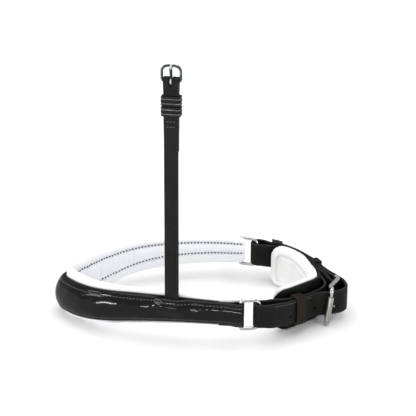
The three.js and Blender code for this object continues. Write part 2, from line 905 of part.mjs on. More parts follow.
function roller() {
  const outer = rollerDiameter / 2;
  const bore = outer - rollerWall;
  const half = rollerLength / 2;
  const chamfer = rollerWall / 3;
  const profile = [
    [bore, -half],
    [outer - chamfer, -half],
    [outer, chamfer - half],
    [outer, half - chamfer],
    [outer - chamfer, half],
    [bore, half],
    [bore, -half],
  ].map(([x, y]) => new THREE.Vector2(x, y));
  const tube = new THREE.LatheGeometry(profile, 20);
  const turn = new THREE.Quaternion().setFromUnitVectors(
    new THREE.Vector3(0, 1, 0),
    rollerLean,
  );
  tube.applyQuaternion(turn);
  tube.translate(rollerCentre.x, rollerCentre.y, rollerCentre.z);
  return tube;
}

// A wire tongue: an eye round the buckle's bar, and a tapered pin with a round tip
function tongue({ eyeCentre, eyeAxis, eyeBore, radius, tip, tipRadius }) {
  const eyeRadius = eyeBore + radius;
  const toTip = tip.clone().sub(eyeCentre);
  const length = toTip.length();
  const forward = toTip.clone().normalize();
  const outward = forward.clone().cross(eyeAxis).normalize();
  const eye = shareSteps(0, 2 * Math.PI, 14)
    .slice(0, -1)
    .map((angle) =>
      eyeCentre
        .clone()
        .addScaledVector(forward, eyeRadius * Math.cos(angle))
        .addScaledVector(outward, eyeRadius * Math.sin(angle)),
    );
  const ring = wire(eye, eyeAxis, () => radius, true, 8);
  const start = eyeRadius / length;
  const shares = [start, 0.5, 0.85, 0.94, 0.985, 1];
  const sizes = [1, 1, 1, 0.9, 0.62, 0.2];
  const pinPoints = shares.map((share) =>
    eyeCentre.clone().addScaledVector(forward, share * length),
  );
  const radii = shares.map(
    (share, i) => THREE.MathUtils.lerp(radius, tipRadius, share) * sizes[i],
  );
  const pin = wire(pinPoints, eyeAxis, (i) => radii[i], false, 8);
  const joined = solid(ring).add(solid(pin)).getMesh();
  const shape = new THREE.BufferGeometry();
  shape.setAttribute("position", new THREE.BufferAttribute(joined.vertProperties, 3));
  shape.setIndex(new THREE.BufferAttribute(joined.triVerts, 1));
  return shape;
}

function chinTongue() {
  return tongue({
    eyeCentre: tongueEye,
    eyeAxis: up,
    eyeBore: tongueEyeBore,
    radius: tongueWire / 2,
    tip: tongueTip,
    tipRadius: tongueWire / 2 - clearance,
  });
}

piece("chin_buckle_frame", chinFrameWire(), 0xcfd1d4, 0.2, 1);
piece("chin_buckle_roller", roller(), 0xb9b6b0, 0.25, 1);
piece("chin_buckle_tongue", chinTongue(), 0xd6d8da, 0.2, 1);

// Keepers

function keeperBand(width, depth, wall, length) {
  const rounded = (w, d, corner) => {
    const shape = new THREE.Shape();
    const [x, y] = [w / 2 - corner, d / 2 - corner];
    shape.absarc(x, y, corner, 0, Math.PI / 2, false);
    shape.absarc(-x, y, corner, Math.PI / 2, Math.PI, false);
    shape.absarc(-x, -y, corner, Math.PI, 1.5 * Math.PI, false);
    shape.absarc(x, -y, corner, 1.5 * Math.PI, 2 * Math.PI, false);
    return shape;
  };
  const outline = rounded(width + 2 * wall, depth + 2 * wall, wall + wall / 2);
  outline.holes.push(rounded(width, depth, wall / 2));
  const band = new THREE.ExtrudeGeometry(outline, {
    depth: length,
    bevelEnabled: false,
    curveSegments: 3,
  });
  band.translate(0, 0, -length / 2);
  return band;
}

// A keeper round the strap's layers, following their curve and their slope
function strapKeeper(share, length, innerLift, outerLiftAt) {
  const step = 1 / fineSteps;
  const ply = (place) => beside(chinFrame(place), outerLiftAt(place));
  const pace = ply(share + step).distanceTo(ply(share - step)) / (2 * step);
  const halfShare = length / 2 / pace;
  const sleeve = (grow, extra) => {
    const reach = halfShare * extra;
    const frames = shareSteps(share - reach, share + reach, 6).map(chinFrame);
    const shares = shareSteps(share - reach, share + reach, 6);
    return loft(frames, (i, frame) => {
      const low = innerLift(shares[i]) - strapThickness / 2 - grow;
      const high = outerLiftAt(shares[i]) + strapThickness / 2 + grow;
      const corner = grow / 2;
      const half = strapWidth / 2 + grow;
      const middle = (out) => strapMiddle(beside(frame, out).x);
      const at = (out, height) => [out, middle(out) + height];
      return [
        at(low + corner, -half),
        at(high - corner, -half),
        at(high, corner - half),
        at(high, half - corner),
        at(high - corner, half),
        at(low + corner, half),
        at(low, half - corner),
        at(low, corner - half),
      ];
    });
  };
  return cut(sleeve(keeperEase + keeperWall, 1), sleeve(keeperEase, 1.2));
}

const nearKeeper = strapKeeper(nearKeeperShare, nearKeeperLength, () => 0, outerLift);
piece("near_keeper", nearKeeper, 0x2d211b, 0.55);
for (const [name, share] of [
  ["far_keeper_middle", farKeeperShare],
  ["far_keeper_end", endKeeperShare],
]) {
  const band = strapKeeper(share, farKeeperLength, chapeLift, outerLift);
  piece(name, band, 0x1b1c1e, 0.55);
}

// The jaw pad: a rounded rectangle bent round the chin inside the strap

const padSteps = 34;
const padBack = strapThickness / 2 + clearance + padBacking + clearance;
const padFrames = bandFrames(
  shareSteps(padStartShare, padEndShare, padSteps).map((share) =>
    beside(chinFrame(share), -padBack - padLift(share)),
  ),
  -1,
);
const padLength = padFrames[padSteps].distance;
const padMiddle = padHeight / 2;

// Half the height of a rounded rectangle at a distance from its nearer end
function padHalf(distance, inset) {
  const toEnd = Math.max(Math.min(distance, padLength - distance) - inset, 0);
  const corner = padCorner - inset;
  const short = Math.max(corner - toEnd, 0);
  const half = padHeight / 2 + restCut - inset;
  return half - corner + Math.sqrt(Math.max(corner ** 2 - short ** 2, 0));
}
// Depth of the roll at a distance in from the pad's edge
function padDepth(fromEdge) {
  const roll = padThickness / 2;
  const rim = Math.min(fromEdge / roll, 1);
  const seam = Math.exp(-(((fromEdge - padSeamInset) / padSeamWidth) ** 2));
  return padThickness * Math.sqrt(1 - (1 - rim) ** 2) - padSeamDepth * seam;
}
const padShares = [-1, -0.93, -0.8, -0.66, -0.5, -0.25, 0, 0.25, 0.5, 0.66, 0.8, 0.93, 1];

function padRoll() {
  return loft(padFrames, (i, frame) => {
    const half = padHalf(frame.distance, 0);
    const toEnd = Math.min(frame.distance, padLength - frame.distance);
    const face = padShares.map((share) => {
      const fromEdge = Math.min((1 - Math.abs(share)) * half, toEnd);
      return [-padDepth(fromEdge) - clearance, padMiddle + share * half];
    });
    return [[0, padMiddle - half], ...face, [0, padMiddle + half]];
  });
}

// The pad's frames away from its ends, drawn in by an inset at each end
function innerPadFrames(inset) {
  const frames = padFrames.slice(2, -2);
  const last = frames.length - 1;
  const drawnIn = ({ distance }, move) => ({
    ...frameAt(padFrames, (distance + move) / padLength),
    distance,
  });
  frames[0] = drawnIn(frames[0], inset);
  frames[last] = drawnIn(frames[last], -inset);
  return frames;
}

function padHollow(inset, mouth) {
  const edge = liningWall + padThickness / 3 + inset;
  return loft(innerPadFrames(inset), (i, frame) => {
    const half = padHalf(frame.distance, edge);
    const deep = liningWall + padSeamDepth + inset - padThickness;
    const low = [
      [mouth, -half],
      [deep / 2, -half],
      [deep, -half * 0.8],
    ].map(([out, height]) => [out, padMiddle + height]);
    const high = [
      [deep, half * 0.8],
      [deep / 2, half],
      [mouth, half],
    ].map(([out, height]) => [out, padMiddle + height]);
    return [...low, ...high];
  });
}

function padBackingPlate() {
  return loft(padFrames, (i, frame) => {
    const half = padHalf(frame.distance, 0) - padBackingInset;
    const [near, far] = [clearance, clearance + padBacking];
    return [
      [near, padMiddle - half],
      [far, padMiddle - half],
      [far, padMiddle + half],
      [near, padMiddle + half],
    ];
  });
}

piece("jaw_pad_lining", cut(padRoll(), padHollow(0, overrun), floorBlock()), 0xf4f4f5, 0.5);
piece("jaw_pad_foam", padHollow(foamEase, -clearance), 0xe6e2d6, 0.9);
piece("jaw_pad_backing", padBackingPlate(), 0x17181a, 0.5);

// The cheek strap: it rises from between the backing and the cover, folds over the bar of
// its buckle and comes down behind itself

const cheek = cheekFrame();
const cheekOut = backingThickness / 2 + clearance + cheekThickness / 2;
const cheekPitch = cheekThickness + clearance;
const cheekLoop = cheekWire / 2 + clearance + cheekThickness / 2;
const cheekBarOut = cheekOut - cheekPitch / 2;
const cheekPoint = (side, out, height) => {
  const point = cheek.centre.clone();
  point.addScaledVector(cheek.tangent, side - cheekLean * height);
  return point.addScaledVector(cheek.across, out).setZ(height);
};
const cheekWidthAt = (height) => {
  const below = cheekBarHeight - keeperGapBelowBar - keeperStep - height;
  return THREE.MathUtils.lerp(cheekTopWidth, cheekWidth, smooth(below / cheekTaper));
};

function cheekStrap() {
  const opening = 4 * cheekLoop;
  const side = (sign, from, to, steps) =>
    shareSteps(from, to, steps).map((height) => {
      const near = smooth(1 - (cheekBarHeight - height) / opening);
      const out = THREE.MathUtils.lerp(cheekPitch / 2, cheekLoop, near);
      return cheekPoint(0, cheekBarOut + sign * out, height);
    });
  const loop = shareSteps(15, 165, 6).map((angle) => {
    const radians = THREE.MathUtils.degToRad(angle);
    return cheekPoint(
      0,
      cheekBarOut + cheekLoop * Math.cos(radians),
      cheekBarHeight + cheekLoop * Math.sin(radians),
    );
  });
  const points = [
    ...side(1, cheekBottom(), cheekBarHeight - opening, 8),
    ...side(1, cheekBarHeight - opening, cheekBarHeight, 5).slice(1),
    ...loop,
    ...side(-1, cheekBarHeight, cheekBarHeight - opening, 5),
    ...side(-1, cheekBarHeight - opening, cheekBarHeight - cheekReturn, 5).slice(1),
  ];
  const frames = points.map((point, i) => {
    const ahead = points[Math.min(i + 1, points.length - 1)];
    const behind = points[Math.max(i - 1, 0)];
    const tangent = ahead.clone().sub(behind).normalize();
    return { centre: point, across: tangent.clone().cross(cheek.tangent), along: cheek.tangent };
  });
  const last = points.length - 1;
  const strap = loft(frames, (i, frame) => {
    const skived = i === last ? 0.35 : 1;
    const out = (cheekThickness / 2) * skived;
    const edge = strapEdge * 0.7;
    const half = cheekWidthAt(frame.centre.z) / 2;
    return [
      [-out, -half + edge],
      [0, -half],
      [out, -half + edge],
      [out, half - edge],
      [0, half],
      [-out, half - edge],
    ];
  });
  const slotTop = cheekBarHeight + 2 * cheekLoop;
  const slotBottom = cheekBarHeight - cheekSlotDepth;
  const slot = blockAt(
    cheekPoint(0, cheekBarOut, (slotTop + slotBottom) / 2),
    cheek.tangent,
    cheekSlot,
    4 * cheekLoop,
    slotTop - slotBottom,
  );
  return cut(strap, slot);
}

// A wire frame with rounded shoulders, and a dip in its crown where the tongue rests
function cheekBuckleFrame() {
  const radius = cheekWire / 2;
  const half = cheekFrameWidth / 2 - radius;
  const rise = cheekFrameRise - radius;
  const shoulder = rise * 0.34;
  const at = (side, height) => cheekPoint(side, cheekBarOut, cheekBarHeight + height);
  const quarter = (sign) =>
    shareSteps(0, Math.PI / 2, 5).map((angle) =>
      at(
        sign * (half - shoulder + shoulder * Math.cos(angle)),
        rise - shoulder + shoulder * Math.sin(angle),
      ),
    );
  const crown = [0.26, 0.13, 0, -0.13, -0.26].map((share) =>
    at(share * half, rise - cheekFrameDip * (1 - Math.abs(share) / 0.3)),
  );
  const path = [
    at(-half + radius, 0),
    at(half - radius, 0),
    at(half, radius),
    ...quarter(1),
    ...crown,
    ...quarter(-1).reverse(),
    at(-half, radius),
  ];
  return wire(path, cheek.across, () => radius, true, 10);
}

function cheekTongue() {
  const eyeCentre = cheekPoint(0, cheekBarOut, cheekBarHeight);
  const rise = cheekFrameRise - cheekWire / 2 - clearance;
  const over = cheekWire / 2 + 1.5 * clearance + cheekTongueWire / 2;
  return tongue({
    eyeCentre,
    eyeAxis: cheek.tangent,
    eyeBore: cheekWire / 2 + clearance,
    radius: cheekTongueWire / 2,
    tip: cheekPoint(0, cheekBarOut + over, cheekBarHeight + rise),
    tipRadius: cheekTongueWire / 2 - clearance / 2,
  });
}

function cheekKeeper(step) {
  const top = cheekBarHeight - keeperGapBelowBar - step * keeperStep;
  const middle = top - keeperTall / 2;
  const band = keeperBand(
    cheekTopWidth + 2 * keeperEase,
    cheekThickness + cheekPitch + 2 * keeperEase,
    cheekKeeperWall,
    keeperTall,
  );
  const basis = new THREE.Matrix4().makeBasis(cheek.tangent, cheek.across, up);
  if (basis.determinant() < 0) basis.makeBasis(cheek.tangent, cheek.across.clone().negate(), up);
  band.applyMatrix4(basis.setPosition(cheekPoint(0, cheekBarOut, middle)));
  return band;
}

piece("cheek_strap", cheekStrap(), 0x1b1c1e, 0.6);
piece("cheek_buckle_frame", cheekBuckleFrame(), 0x8f949b, 0.3, 1);
piece("cheek_buckle_tongue", cheekTongue(), 0x9a9fa6, 0.3, 1);
piece("cheek_keeper_fixed", cheekKeeper(0), 0x1b1c1e, 0.55);
piece("cheek_keeper_runner", cheekKeeper(1), 0x1b1c1e, 0.55);

// The part's origin: the middle of its box, on the surface it rests on
const box = new THREE.Box3().setFromObject(group);
const centre = box.getCenter(new THREE.Vector3());
group.position.set(-centre.x, -centre.y, -box.min.z);

export default group;
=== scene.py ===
"""The looks of a padded cavesson noseband, standing on its lower edge.

Every piece is worked out in millimetres in the loop's own frame (the nose towards -X, the
chin towards +X, the near side towards -Y) and goes into its mesh in metres.
"""
import logging
import math
from collections.abc import Callable
from dataclasses import dataclass, field
from enum import Enum
from functools import partial

import bmesh
import bpy
import numpy as np
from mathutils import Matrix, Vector


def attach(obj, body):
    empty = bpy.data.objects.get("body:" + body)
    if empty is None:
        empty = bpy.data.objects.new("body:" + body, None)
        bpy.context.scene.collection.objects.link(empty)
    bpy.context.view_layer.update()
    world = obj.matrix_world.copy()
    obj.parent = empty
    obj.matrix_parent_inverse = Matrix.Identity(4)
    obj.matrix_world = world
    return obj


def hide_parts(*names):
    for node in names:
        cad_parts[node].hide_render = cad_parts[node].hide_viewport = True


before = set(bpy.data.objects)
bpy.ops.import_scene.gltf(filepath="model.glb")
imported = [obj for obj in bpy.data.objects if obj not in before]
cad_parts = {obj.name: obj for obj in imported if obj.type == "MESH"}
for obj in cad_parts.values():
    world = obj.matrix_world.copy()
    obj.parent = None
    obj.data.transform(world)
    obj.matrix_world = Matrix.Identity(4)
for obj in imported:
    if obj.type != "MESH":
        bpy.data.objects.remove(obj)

Array = np.ndarray
Piece = bpy.types.Object

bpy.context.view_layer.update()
LOG = logging.getLogger("noseband")

MM = 0.001
UP = np.array([0.0, 0.0, 1.0])
# Where the middle of the whole object's box lies in the loop's own frame
BOX_MIDDLE = np.array([-7.981, 0.938, 0.0])
# The line pressed into a strap's grain side: how far in from the edge, and how wide
CREASE_INSET = 1.9
CREASE_WIDTH = 0.42


def smooth(x: Array) -> Array:
    """Ease from 0 to 1: 3x^2 - 2x^3 between 0 and 1, and level outside."""
    x = np.clip(x, 0.0, 1.0)
    return x * x * (3.0 - 2.0 * x)


def mix(a: Array, b: Array, share: Array) -> Array:
    """Go from a to b by a share."""
    return a + (b - a) * share


def bump(x: Array, middle: float, width: float) -> Array:
    """Bell curve of height 1 round a middle."""
    return np.exp(-(((x - middle) / width) ** 2))


def unit(v: Array) -> Array:
    """Scale vectors to length 1."""
    return v / np.linalg.norm(v, axis=-1, keepdims=True)


def row(values: Array) -> Array:
    """Take one number or many as a row of decimals."""
    return np.atleast_1d(np.asarray(values, dtype=float))


def even_run(points: Array) -> Array:
    """Measure the distance along a line at each of its points."""
    return np.concatenate([[0], np.linalg.norm(np.diff(points, axis=0), axis=1).cumsum()])


def on_line(want: Array, run: Array, values: Array) -> Array:
    """Find vectors at distances along a line, straight between its points."""
    return np.stack([np.interp(want, run, values[:, k]) for k in range(3)], axis=1)


def and_back(front: Array, back: Array) -> Array:
    """Go round each row's section: along its front, and back along its other face."""
    return np.concatenate([front, back[:, ::-1]], axis=1)


def turned(v: Array, degrees: Array) -> Array:
    """Turn vectors about +Z.

    Args:
        v: Vectors, (..., 3).
        degrees: Angle, one or an array of them.

    Returns:
        The turned vectors: x cos - y sin, x sin + y cos, z.
    """
    a = np.radians(np.asarray(degrees, dtype=float))
    c, s = np.cos(a), np.sin(a)
    x = v[..., 0] * c - v[..., 1] * s
    y = v[..., 0] * s + v[..., 1] * c
    return np.stack([x, y, np.broadcast_to(v[..., 2], x.shape)], axis=-1)


@dataclass
class Curve:
    """A smooth line through points: a Catmull-Rom spline, centripetal unless even."""

    points: Array
    even: bool = False

    def at(self, share: Array) -> Array:
        """Find points of the line.

        Each span is a cubic whose slopes at its two ends come from the points before and
        after it, and the spline's ends are carried straight on.

        Args:
            share: Places from 0 to 1, evenly over the spans.

        Returns:
            The points, one row for each place.
        """
        share = np.clip(row(share), 0.0, 1.0)
        p = self.points
        whole = np.vstack([2 * p[0] - p[1], p, 2 * p[-1] - p[-2]])
        spot = share * (len(p) - 1)
        low = np.minimum(spot.astype(int), len(p) - 2)
        t = (spot - low)[:, None]
        a, b, c, d = (whole[low + k] for k in range(4))
        if self.even:
            start, end = (c - a) / 2, (d - b) / 2
        else:
            ra, rb, rc = (
                np.sqrt(np.linalg.norm(v, axis=1, keepdims=True)) for v in (b - a, c - b, d - c)
            )
            start = ((b - a) / ra - (c - a) / (ra + rb) + (c - b) / rb) * rb
            end = ((c - b) / rb - (d - b) / (rb + rc) + (d - c) / rc) * rb
        cubic = 2 * (b - c) + start + end
        square = 3 * (c - b) - 2 * start - end
        return b + t * (start + t * (square + t * cubic))

    def length(self) -> float:
        """Measure the line."""
        fine = self.at(np.linspace(0, 1, 1200))
        return float(np.linalg.norm(np.diff(fine, axis=0), axis=1).sum())

    def spaced(self, count: int) -> Array:
        """Find points at even distances along the line.

        Args:
            count: How many steps.

        Returns:
            count + 1 points.
        """
        fine = self.at(np.linspace(0, 1, 4000))
        run = even_run(fine)
        return on_line(np.linspace(0, run[-1], count + 1), run, fine)


@dataclass
class Band:
    """The line of an upright band: points, the ways out of it and along it, distances."""

    centre: Array
    across: Array
    tangent: Array
    distance: Array

    @classmethod
    def through(cls, points: Array, outward: int) -> "Band":
        """Set up a band.

        Args:
            points: Points on the ground, in order.
            outward: 1 where out is to the left of the way along, -1 to the right.

        Returns:
            The band.
        """
        ahead = np.vstack([points[1:], points[-1:]])
        behind = np.vstack([points[:1], points[:-1]])
        tangent = unit(ahead - behind)
        across = np.stack([-tangent[:, 1], tangent[:, 0], 0 * tangent[:, 0]], axis=1) * outward
        return cls(points, across, tangent, even_run(points))

    def at(self, distance: Array) -> "Band":
        """Find the band's frames at distances along it.

        Args:
            distance: Distances, in the unit of the points.

        Returns:
            A band with one row for each distance.
        """
        distance = row(distance)
        centre, across, tangent = (
            on_line(distance, self.distance, values)
            for values in (self.centre, self.across, self.tangent)
        )
        return Band(centre, unit(across), unit(tangent), distance)

    def out(self, by: Array, height: Array) -> Array:
        """Find points beside the band.

        Args:
            by: How far out, (n,) or (n, m).
            height: Height over the ground, of the same shape.

        Returns:
            The points, (n, 3) or (n, m, 3).
        """
        by, height = np.broadcast_arrays(np.asarray(by, dtype=float), height)
        shape = (len(self.centre), *(1,) * (by.ndim - 1), 3)
        points = self.centre.reshape(shape) + self.across.reshape(shape) * by[..., None]
        points[..., 2] = height
        return points


# ---- Meshes ----


def new_object(name: str, vertices: Array, faces: list, flow: Array | None) -> Piece:
    """Make a mesh object from points in the loop's frame.

    Args:
        name: The piece's name.
        vertices: Points in millimetres, (n, 3).
        faces: Lists of vertex numbers.
        flow: For each point, its distance along the piece, its distance across it and
            which face it is on, in metres; it becomes the attribute "flow".

    Returns:
        The object, with its faces turned outwards and shaded smooth up to 42 degrees.
    """
    mesh = bpy.data.meshes.new(name)
    mesh.from_pydata(((vertices - BOX_MIDDLE) * MM).tolist(), [], faces)
    if flow is not None:
        layer = mesh.attributes.new("flow", "FLOAT_VECTOR", "POINT")
        layer.data.foreach_set("vector", np.ascontiguousarray(flow, dtype=np.float32).ravel())
    tidy_faces(mesh)
    obj = bpy.data.objects.new(name, mesh)
    bpy.context.scene.collection.objects.link(obj)
    return obj


def tidy_faces(mesh: bpy.types.Mesh, angle: float = 42.0) -> None:
    """Turn a mesh's faces outwards and shade it smooth, with sharp edges past an angle.

    Args:
        mesh: The mesh.
        angle: Degrees between two faces past which their edge stays sharp.
    """
    work = bmesh.new()
    work.from_mesh(mesh)
    bmesh.ops.recalc_face_normals(work, faces=work.faces)
    if work.calc_volume(signed=True) < 0:
        bmesh.ops.reverse_faces(work, faces=work.faces)
    work.to_mesh(mesh)
    work.free()
    mesh.shade_smooth()
    mesh.set_sharp_from_angle(angle=math.radians(angle))
    mesh.update()


def grid_faces(rows: int, columns: int, wrap_rows: bool, wrap_columns: bool) -> Array:
    """Number the quads of a grid, joined up where it closes on itself.

    Args:
        rows: Points down the grid.
        columns: Points across it.
        wrap_rows: Whether the last row meets the first.
        wrap_columns: Whether the last column meets the first.

    Returns:
        Four vertex numbers a row.
    """
    i = np.arange(rows if wrap_rows else rows - 1)[:, None]
    j = np.arange(columns if wrap_columns else columns - 1)[None, :]
    low, high = i * columns, ((i + 1) % rows) * columns
    right = (j + 1) % columns
    quads = np.stack(np.broadcast_arrays(low + j, low + right, high + right, high + j), axis=-1)
    return quads.reshape(-1, 4)


def skin(name: str, grid: Array, wrap_rows: bool = False, flow: Array | None = None) -> Piece:
    """Make a closed tube from rows of ring points, with a flat cap at each open end.

    Args:
        name: The piece's name.
        grid: Points, (rows, points round each row, 3), in millimetres.
        wrap_rows: Whether the last row meets the first.
        flow: The attribute "flow" for each point, in millimetres, of the grid's shape.

    Returns:
        The object.
    """
    rows, columns = grid.shape[:2]
    faces = grid_faces(rows, columns, wrap_rows, True).tolist()
    if not wrap_rows:
        faces.append(list(range(columns))[::-1])
        faces.append(list(range((rows - 1) * columns, rows * columns)))
    flat = None if flow is None else flow.reshape(-1, 3) * MM
    return new_object(name, grid.reshape(-1, 3), faces, flat)


def wire(path: Array, side: Array, radius: Array, closed: bool, sides: int = 20) -> Array:
    """Carry a circle along a path.

    Args:
        path: Points, (n, 3).
        side: A direction that the circles keep one of their axes near.
        radius: The circle's radius, one or (n,).
        closed: Whether the path closes on itself.
        sides: Points round each circle.

    Returns:
        Rings of points: centre + r cos a times one axis + r sin a times the other.
    """
    if closed:
        along = unit(np.roll(path, -1, axis=0) - np.roll(path, 1, axis=0))
    else:
        along = unit(np.vstack([path[1:], path[-1:]]) - np.vstack([path[:1], path[:-1]]))
    first = unit(side - along * (along @ side)[:, None])
    second = np.cross(along, first)
    angle = np.linspace(0, 2 * math.pi, sides, endpoint=False)
    r = np.broadcast_to(np.asarray(radius, dtype=float), (len(path),))[:, None, None]
    cosine, sine = np.cos(angle)[None, :, None], np.sin(angle)[None, :, None]
    return path[:, None, :] + r * (cosine * first[:, None] + sine * second[:, None])


def strip_outline(width: float, thickness: float, edge: float, crease: float = 0.25) -> Array:
    """Draw the section of a leather strap, with a crease line pressed in near each edge.

    Args:
        width: Across the strap.
        thickness: Through it.
        edge: How far its edges are rounded.
        crease: Depth of the crease lines of the outer face.

    Returns:
        Points (out, across) round the section: level faces whose creases are bell curves
        1.9 mm in from the edges, joined by quarter circles.
    """
    half, out = width / 2, thickness / 2
    inset = np.array([edge, 1.25, 1.55, CREASE_INSET, 2.25, 2.6, 3.2])
    flat = np.linspace(inset[-1] - half, half - inset[-1], 7)[1:-1]
    face = np.concatenate([inset - half, flat, half - inset[::-1]])
    lines = (CREASE_INSET - half, half - CREASE_INSET)
    groove = crease * (bump(face, lines[0], CREASE_WIDTH) + bump(face, lines[1], CREASE_WIDTH))
    quarter = np.linspace(0, math.pi / 2, 5)[1:-1]
    corner_out = out - edge + edge * np.cos(quarter)
    corner_up = half - edge + edge * np.sin(quarter)
    outer = np.stack([out - groove, face], axis=1)
    top = np.stack([corner_out, corner_up], axis=1)
    tip = np.array([[out - edge, half], [edge - out, half]])
    back = np.stack([-corner_out[::-1], corner_up[::-1]], axis=1)
    inner = np.stack([-out + 0 * face, face[::-1]], axis=1)
    bottom_back = np.stack([-corner_out, -corner_up], axis=1)
    bottom_tip = np.array([[edge - out, -half], [out - edge, -half]])
    bottom = np.stack([corner_out[::-1], -corner_up[::-1]], axis=1)
    return np.vstack([outer, top, tip, back, inner, bottom_back, bottom_tip, bottom])


def flow_of(along: Array, across: Array, face: Array) -> Array:
    """Join each point's distance along, place across and face, for the attribute "flow"."""
    return np.stack(np.broadcast_arrays(along, across, face), axis=-1)


def band_ring(width: Array, depth: Array, corner: Array, steps: int = 6) -> Array:
    """Draw rounded rectangles, one for each row.

    Args:
        width: Size across, (k,).
        depth: Size out, (k,).
        corner: Corner radius, (k,).
        steps: Points in each corner.

    Returns:
        Points (out, across), (k, 4 * steps + 12, 2): four quarter circles with three
        more points on each straight side.
    """
    rings = []
    angles = np.radians(np.linspace(0, 90, steps))
    for quarter, (sign_out, sign_up) in enumerate([(1, 1), (-1, 1), (-1, -1), (1, -1)]):
        a = angles + quarter * math.pi / 2
        out = sign_out * (depth / 2 - corner)[:, None] + corner[:, None] * np.cos(a)
        up = sign_up * (width / 2 - corner)[:, None] + corner[:, None] * np.sin(a)
        rings.append(np.stack([out, up], axis=-1))
    whole = []
    for quarter in range(4):
        here, after = rings[quarter], rings[(quarter + 1) % 4]
        share = np.array([0.25, 0.5, 0.75])[None, :, None]
        whole += [here, mix(here[:, -1:], after[:, :1], share)]
    return np.concatenate(whole, axis=1)


@dataclass(frozen=True)
class Gauge:
    """How a row is sewn: from stitch to stitch, a stitch's length, the thread's thickness,
    how far its middle stands off the surface, and the degrees it turns out of line.
    """

    pitch: float
    length: float
    width: float
    rise: float
    slant: float = 7.0


COVER_GAUGE = Gauge(3.0, 2.1, 0.9, 0.25)
LINING_GAUGE = Gauge(3.0, 1.35, 1.45, 0.4)
STRAP_GAUGE = Gauge(2.6, 1.7, 0.7, 0.2)
CHEEK_GAUGE = Gauge(2.5, 1.7, 0.7, 0.2)


def stitches(name: str, path: Array, normal: Array, gauge: Gauge) -> Piece:
    """Lay a row of stitches on a line: one small pillow for each, slightly slanted.

    A pillow is a grid of 6 rings of 6 points, whose radius is the sine of the way along it,
    to the power 0.6, and whose middle line sags by the square of the way from its middle.

    Args:
        name: The piece's name.
        path: Points on the surface, (n, 3).
        normal: The way out of the surface at each, (n, 3).
        gauge: How the row is sewn.

    Returns:
        The piece.
    """
    run = even_run(path)
    count = max(int(run[-1] // gauge.pitch), 1)
    start = (run[-1] - (count - 1) * gauge.pitch) / 2
    spots = start + np.arange(count) * gauge.pitch
    at, out = on_line(spots, run, path), unit(on_line(spots, run, normal))
    near = 0.2
    straight = unit(on_line(spots + near, run, path) - on_line(spots - near, run, path))
    level = unit(np.cross(out, straight))
    cosine, sine = math.cos(math.radians(gauge.slant)), math.sin(math.radians(gauge.slant))
    along, side = straight * cosine + level * sine, level * cosine - straight * sine
    sides = 6
    v = np.linspace(0.12, math.pi - 0.12, sides)
    a = np.linspace(0, 2 * math.pi, sides, endpoint=False)
    ring_x = np.repeat(-np.cos(v) * gauge.length / 2, sides)
    thick = np.sin(v)[:, None] ** 0.6
    ring_s = (thick * np.cos(a)[None, :]).ravel() * gauge.width / 2
    ring_n = (thick * np.sin(a)[None, :]).ravel() * gauge.width / 2
    sag = gauge.rise - 0.5 * gauge.rise * (ring_x / (gauge.length / 2)) ** 2
    points = (
        at[:, None, :]
        + along[:, None, :] * ring_x[None, :, None]
        + side[:, None, :] * ring_s[None, :, None]
        + out[:, None, :] * (ring_n + sag)[None, :, None]
    )
    each = sides * sides
    quads = grid_faces(sides, sides, False, True)
    faces = (quads[None] + (np.arange(count) * each)[:, None, None]).reshape(-1, 4).tolist()
    for k in range(count):
        faces.append([each * k + j for j in range(sides - 1, -1, -1)])
        faces.append([each * (k + 1) - sides + j for j in range(sides)])
    obj = new_object(name, points.reshape(-1, 3), faces, None)
    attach(obj, "noseband")
    return obj


def applied(obj: Piece) -> None:
    """Put the result of an object's modifiers into its mesh and take them off.

    Args:
        obj: The object.
    """
    graph = bpy.context.evaluated_depsgraph_get()
    made = bpy.data.meshes.new_from_object(obj.evaluated_get(graph), depsgraph=graph)
    obj.modifiers.clear()
    old = obj.data
    obj.data = made
    bpy.data.meshes.remove(old)


def bored(obj: Piece, cutters: list[Piece]) -> None:
    """Cut closed shapes out of a piece and delete them.

    Args:
        obj: The piece.
        cutters: The shapes.
    """
    for cutter in cutters:
        modifier = obj.modifiers.new("bore", "BOOLEAN")
        modifier.operation = "DIFFERENCE"
        modifier.solver = "EXACT"
        modifier.object = cutter
    applied(obj)
    for cutter in cutters:
        bpy.data.objects.remove(cutter)
    tidy_faces(obj.data)


def oval_cutter(
    centre: Array, along: Array, out: Array, length: float, width: float, depth: float
) -> Piece:
    """Make the shape of an oval punch.

    Args:
        centre: Its middle.
        along: Its long way.
        out: The way it is driven.
        length: Length of the hole.
        width: Width of the hole.
        depth: How far it goes through.

    Returns:
        A prism whose outline is a superellipse of power 2.6.
    """
    side = np.cross(out, along)
    power = 2 / 2.6
    a = np.linspace(0, 2 * math.pi, 24, endpoint=False)
    c, s = np.cos(a), np.sin(a)
    x = np.sign(c) * np.abs(c) ** power * length / 2
    y = np.sign(s) * np.abs(s) ** power * width / 2
    ring = centre + along * x[:, None] + side * y[:, None]
    grid = np.stack([ring - out * depth / 2, ring + out * depth / 2])
    return skin("punch", grid)


# ---- The nosepiece ----


